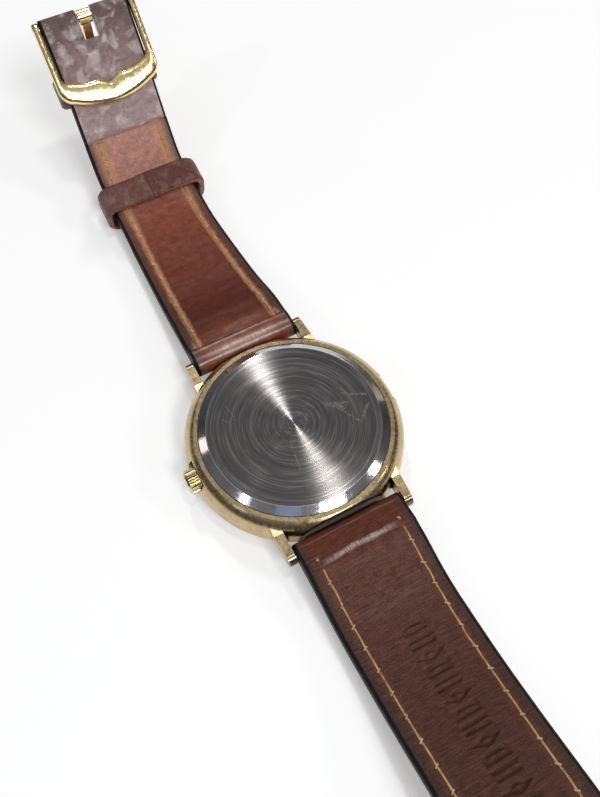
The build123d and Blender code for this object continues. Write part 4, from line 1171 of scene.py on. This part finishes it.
back_profile += [(RIM_R - 0.03, RIM_Z), (RIM_R, RIM_Z - 0.06), (RIM_R, RIM_LOW), (SKIRT_R, RIM_LOW)]
back_profile += [(SKIRT_R, SKIRT_LOW), (SKIRT_INNER_R, SKIRT_LOW), (SKIRT_INNER_R, INSIDE_Z - 0.25)]
back_profile += [(SKIRT_INNER_R - 0.25, INSIDE_Z), (AXIS_R, INSIDE_Z)]
case_back = turned(
    "case_back_turned", back_profile, Vector(), (X_AXIS, Y_AXIS), Z_AXIS, 192, [BACK_FLAT, STEEL],
    slot_of=lambda i, j: 0 if i < FLAT_STEPS else 1,
)
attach(case_back, "case")
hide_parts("case_back")


# ---- buckle frame, in mm
BUCKLE_THICK = 1.6
BUCKLE_LIFT = 1.25
BUCKLE_STAND_OFF = 0.5
BUCKLE_LIES_AT = 54.5
OUTER_HALF = 9.1
INNER_HALF = 7.9


def through(a, b, c, steps):
    """Points of the arc from a through b to c."""
    p, q, r = complex(*a), complex(*b), complex(*c)
    w = (r - p) / (q - p)
    centre = p - (p - q) * (w - abs(w) ** 2) / (2j * w.imag)
    turn = cmath.phase((q - centre) / (p - centre)) + cmath.phase((r - centre) / (q - centre))
    points = [centre + (p - centre) * cmath.rect(1, turn * i / steps) for i in range(steps + 1)]
    return [(point.real, point.imag) for point in points]


def mirrored(half_outline):
    """The whole outline from its +X half, which ends on the middle line."""
    return half_outline + [(-x, v) for x, v in reversed(half_outline[:-1])]


def rounded_power(value, power):
    return math.copysign(abs(value) ** power, value)


def buckle_frame():
    """D-shaped frame: a rounded bar whose outer and inner edges follow two outlines."""
    outer = [(OUTER_HALF, v) for v in spaced(-0.6, 9.8, 12)[:-1]]
    outer += through((OUTER_HALF, 9.8), (8.55, 11.7), (7.0, 12.7), 10)[:-1]
    outer += through((7.0, 12.7), (3.6, 13.97), (0.0, 14.4), 12)
    inner = [(INNER_HALF, v) for v in spaced(-0.6, 7.9, 12)[:-1]]
    inner += through((INNER_HALF, 7.9), (7.5, 8.8), (6.7, 9.2), 10)[:-1]
    inner += through((6.7, 9.2), (4.0, 9.9), (1.9, 9.95), 6)[:-1]
    inner += through((1.9, 9.95), (1.1, 10.3), (0.0, 11.0), 6)
    lie, _, lie_inner = strap_frame(BUCKLE_STRAP, BUCKLE_LIES_AT)
    lie = lie + lie_inner * ((level(BUCKLE_STRAP["thick"], BUCKLE_LIES_AT) / 2 + BUCKLE_LIFT) * MM)
    forward = (lie - pivot).normalized()
    normal = X_AXIS.cross(forward) * -1.0
    origin = pivot + normal * (BUCKLE_STAND_OFF * MM)
    rings = []
    for (ox, ov), (ix, iv) in zip(mirrored(outer), mirrored(inner)):
        ring = []
        for k in range(20):
            angle = math.tau * k / 20
            t = 0.5 + 0.5 * rounded_power(math.cos(angle), 0.55)
            rise = rounded_power(math.sin(angle), 0.75) * BUCKLE_THICK / 2
            flat = X_AXIS * (ix + (ox - ix) * t) + forward * (iv + (ov - iv) * t)
            ring.append(origin + (flat + normal * rise) * MM)
        rings.append(ring)
    frame_bar = rings_object("buckle_bar_loop", rings, [BUCKLE_GOLD])
    hub = [(0.3, INNER_HALF), (1.1, INNER_HALF), (1.25, INNER_HALF + 0.15), (1.25, OUTER_HALF - 0.3)]
    hub += [(1.1, OUTER_HALF - 0.05), (0.9, OUTER_HALF), (0.3, OUTER_HALF)]
    hubs = [turned("hub", hub, pivot, (Y_AXIS, Z_AXIS), X_AXIS * hand, 32, [BUCKLE_GOLD]) for hand in (1, -1)]
    return join("buckle_frame_polished", [frame_bar] + hubs)


buckle = buckle_frame()
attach(buckle, "buckle")
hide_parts("buckle_frame")

# ---- floor, lights, camera
FLOOR_HALF = 3.0
floor_corners = [(x * FLOOR_HALF, y * FLOOR_HALF, 0) for x, y in ((-1, -1), (1, -1), (1, 1), (-1, 1))]
floor_mesh = bpy.data.meshes.new("floor")
floor_mesh.from_pydata(floor_corners, [], [(0, 1, 2, 3)])
floor = placed("floor", floor_mesh)
floor.location.z = -0.00005
floor_look = Shader("floor_paper", Roughness=0.9, Specular_IOR_Level=0.1, Emission_Strength=0.30)
cloud = floor_look.noise(floor_look.coords("Object"), 3.0)
floor_look.to(floor_look.ramp(cloud, [(0.3, (0.86, 0.86, 0.86)), (0.7, (0.90, 0.90, 0.90))]), "Base Color")
floor_look.shader.inputs["Emission Color"].default_value = (1, 1, 1, 1)
floor_mesh.materials.append(floor_look.material)

# A bright ceiling over darker walls, so that polished metal has something dark to show.
sky = Shader("studio", bpy.data.worlds, "Background", Strength=1.0)
greys = ((0.0, 0.28), (0.07, 0.12), (0.30, 0.06), (0.72, 0.22), (1.0, 0.50))
stops = [(place, (grey * 0.98, grey * 0.99, grey)) for place, grey in greys]
sky.to(sky.ramp(sky.split(sky.coords("Generated"))["Z"], stops), "Color")
bpy.context.scene.world = sky.material


def area_light(name, direction, distance, size, power, colour=(1, 1, 1), stretch=1.0):
    """Soft rectangular lamp that faces the watch from a direction."""
    data = bpy.data.lights.new(name, "AREA")
    data.shape = "RECTANGLE"
    data.size = size
    data.size_y = size * stretch
    data.energy = power
    data.color = colour
    place = Vector(direction).normalized() * distance
    lamp = placed(name, data)
    lamp.location = place
    lamp.rotation_euler = place.to_track_quat("Z", "Y").to_euler()


area_light("streak_lamp", (0.205, 0.0, 0.98), 0.8, 0.045, 0.75, (1.0, 0.99, 0.95), 1.6)
area_light("back_lamp", (0.17, 0.70, 0.69), 0.8, 0.045, 0.8, (1.0, 0.99, 0.95), 1.6)
area_light("front_softbox", (0.12, -0.66, 0.72), 0.8, 0.20, 2.4, (0.96, 0.98, 1.0))
area_light("right_window", (0.70, -0.45, 0.56), 0.8, 0.08, 0.5, (1.0, 0.99, 0.97), 1.6)
area_light("left_window", (-0.72, -0.16, 0.68), 0.8, 0.05, 0.25, (0.97, 0.98, 1.0), 1.5)
area_light("left_card", (-0.68, 0.60, 0.42), 0.8, 0.12, 0.08, (1.0, 0.86, 0.80))
area_light("blue_card", (-0.38, -0.56, 0.74), 0.8, 0.24, 0.06, (0.30, 0.45, 0.85))
area_light("warm_card", (0.87, 0.38, 0.31), 0.8, 0.26, 0.09, (1.0, 0.86, 0.66))

LENS = 35.55
CAMERA_PLACE = Vector((-23.16, -47.82, 113.56)) * MM
CAMERA_RIGHT = Vector((0.8853, -0.4649, -0.0075))
CAMERA_UP = Vector((0.4123, 0.7775, 0.4749))
camera_data = bpy.data.cameras.new("camera")
camera_data.lens = LENS
camera_data.sensor_width = 36.0
camera_data.clip_start = 0.005
camera_data.clip_end = 20
camera = placed("camera", camera_data)
right = CAMERA_RIGHT.normalized()
back = right.cross(CAMERA_UP).normalized()
up = back.cross(right)
camera.matrix_world = Matrix.Translation(CAMERA_PLACE) @ Matrix((right, up, back)).transposed().to_4x4()
bpy.context.scene.camera = camera
bpy.context.scene.view_settings.view_transform = "Standard"
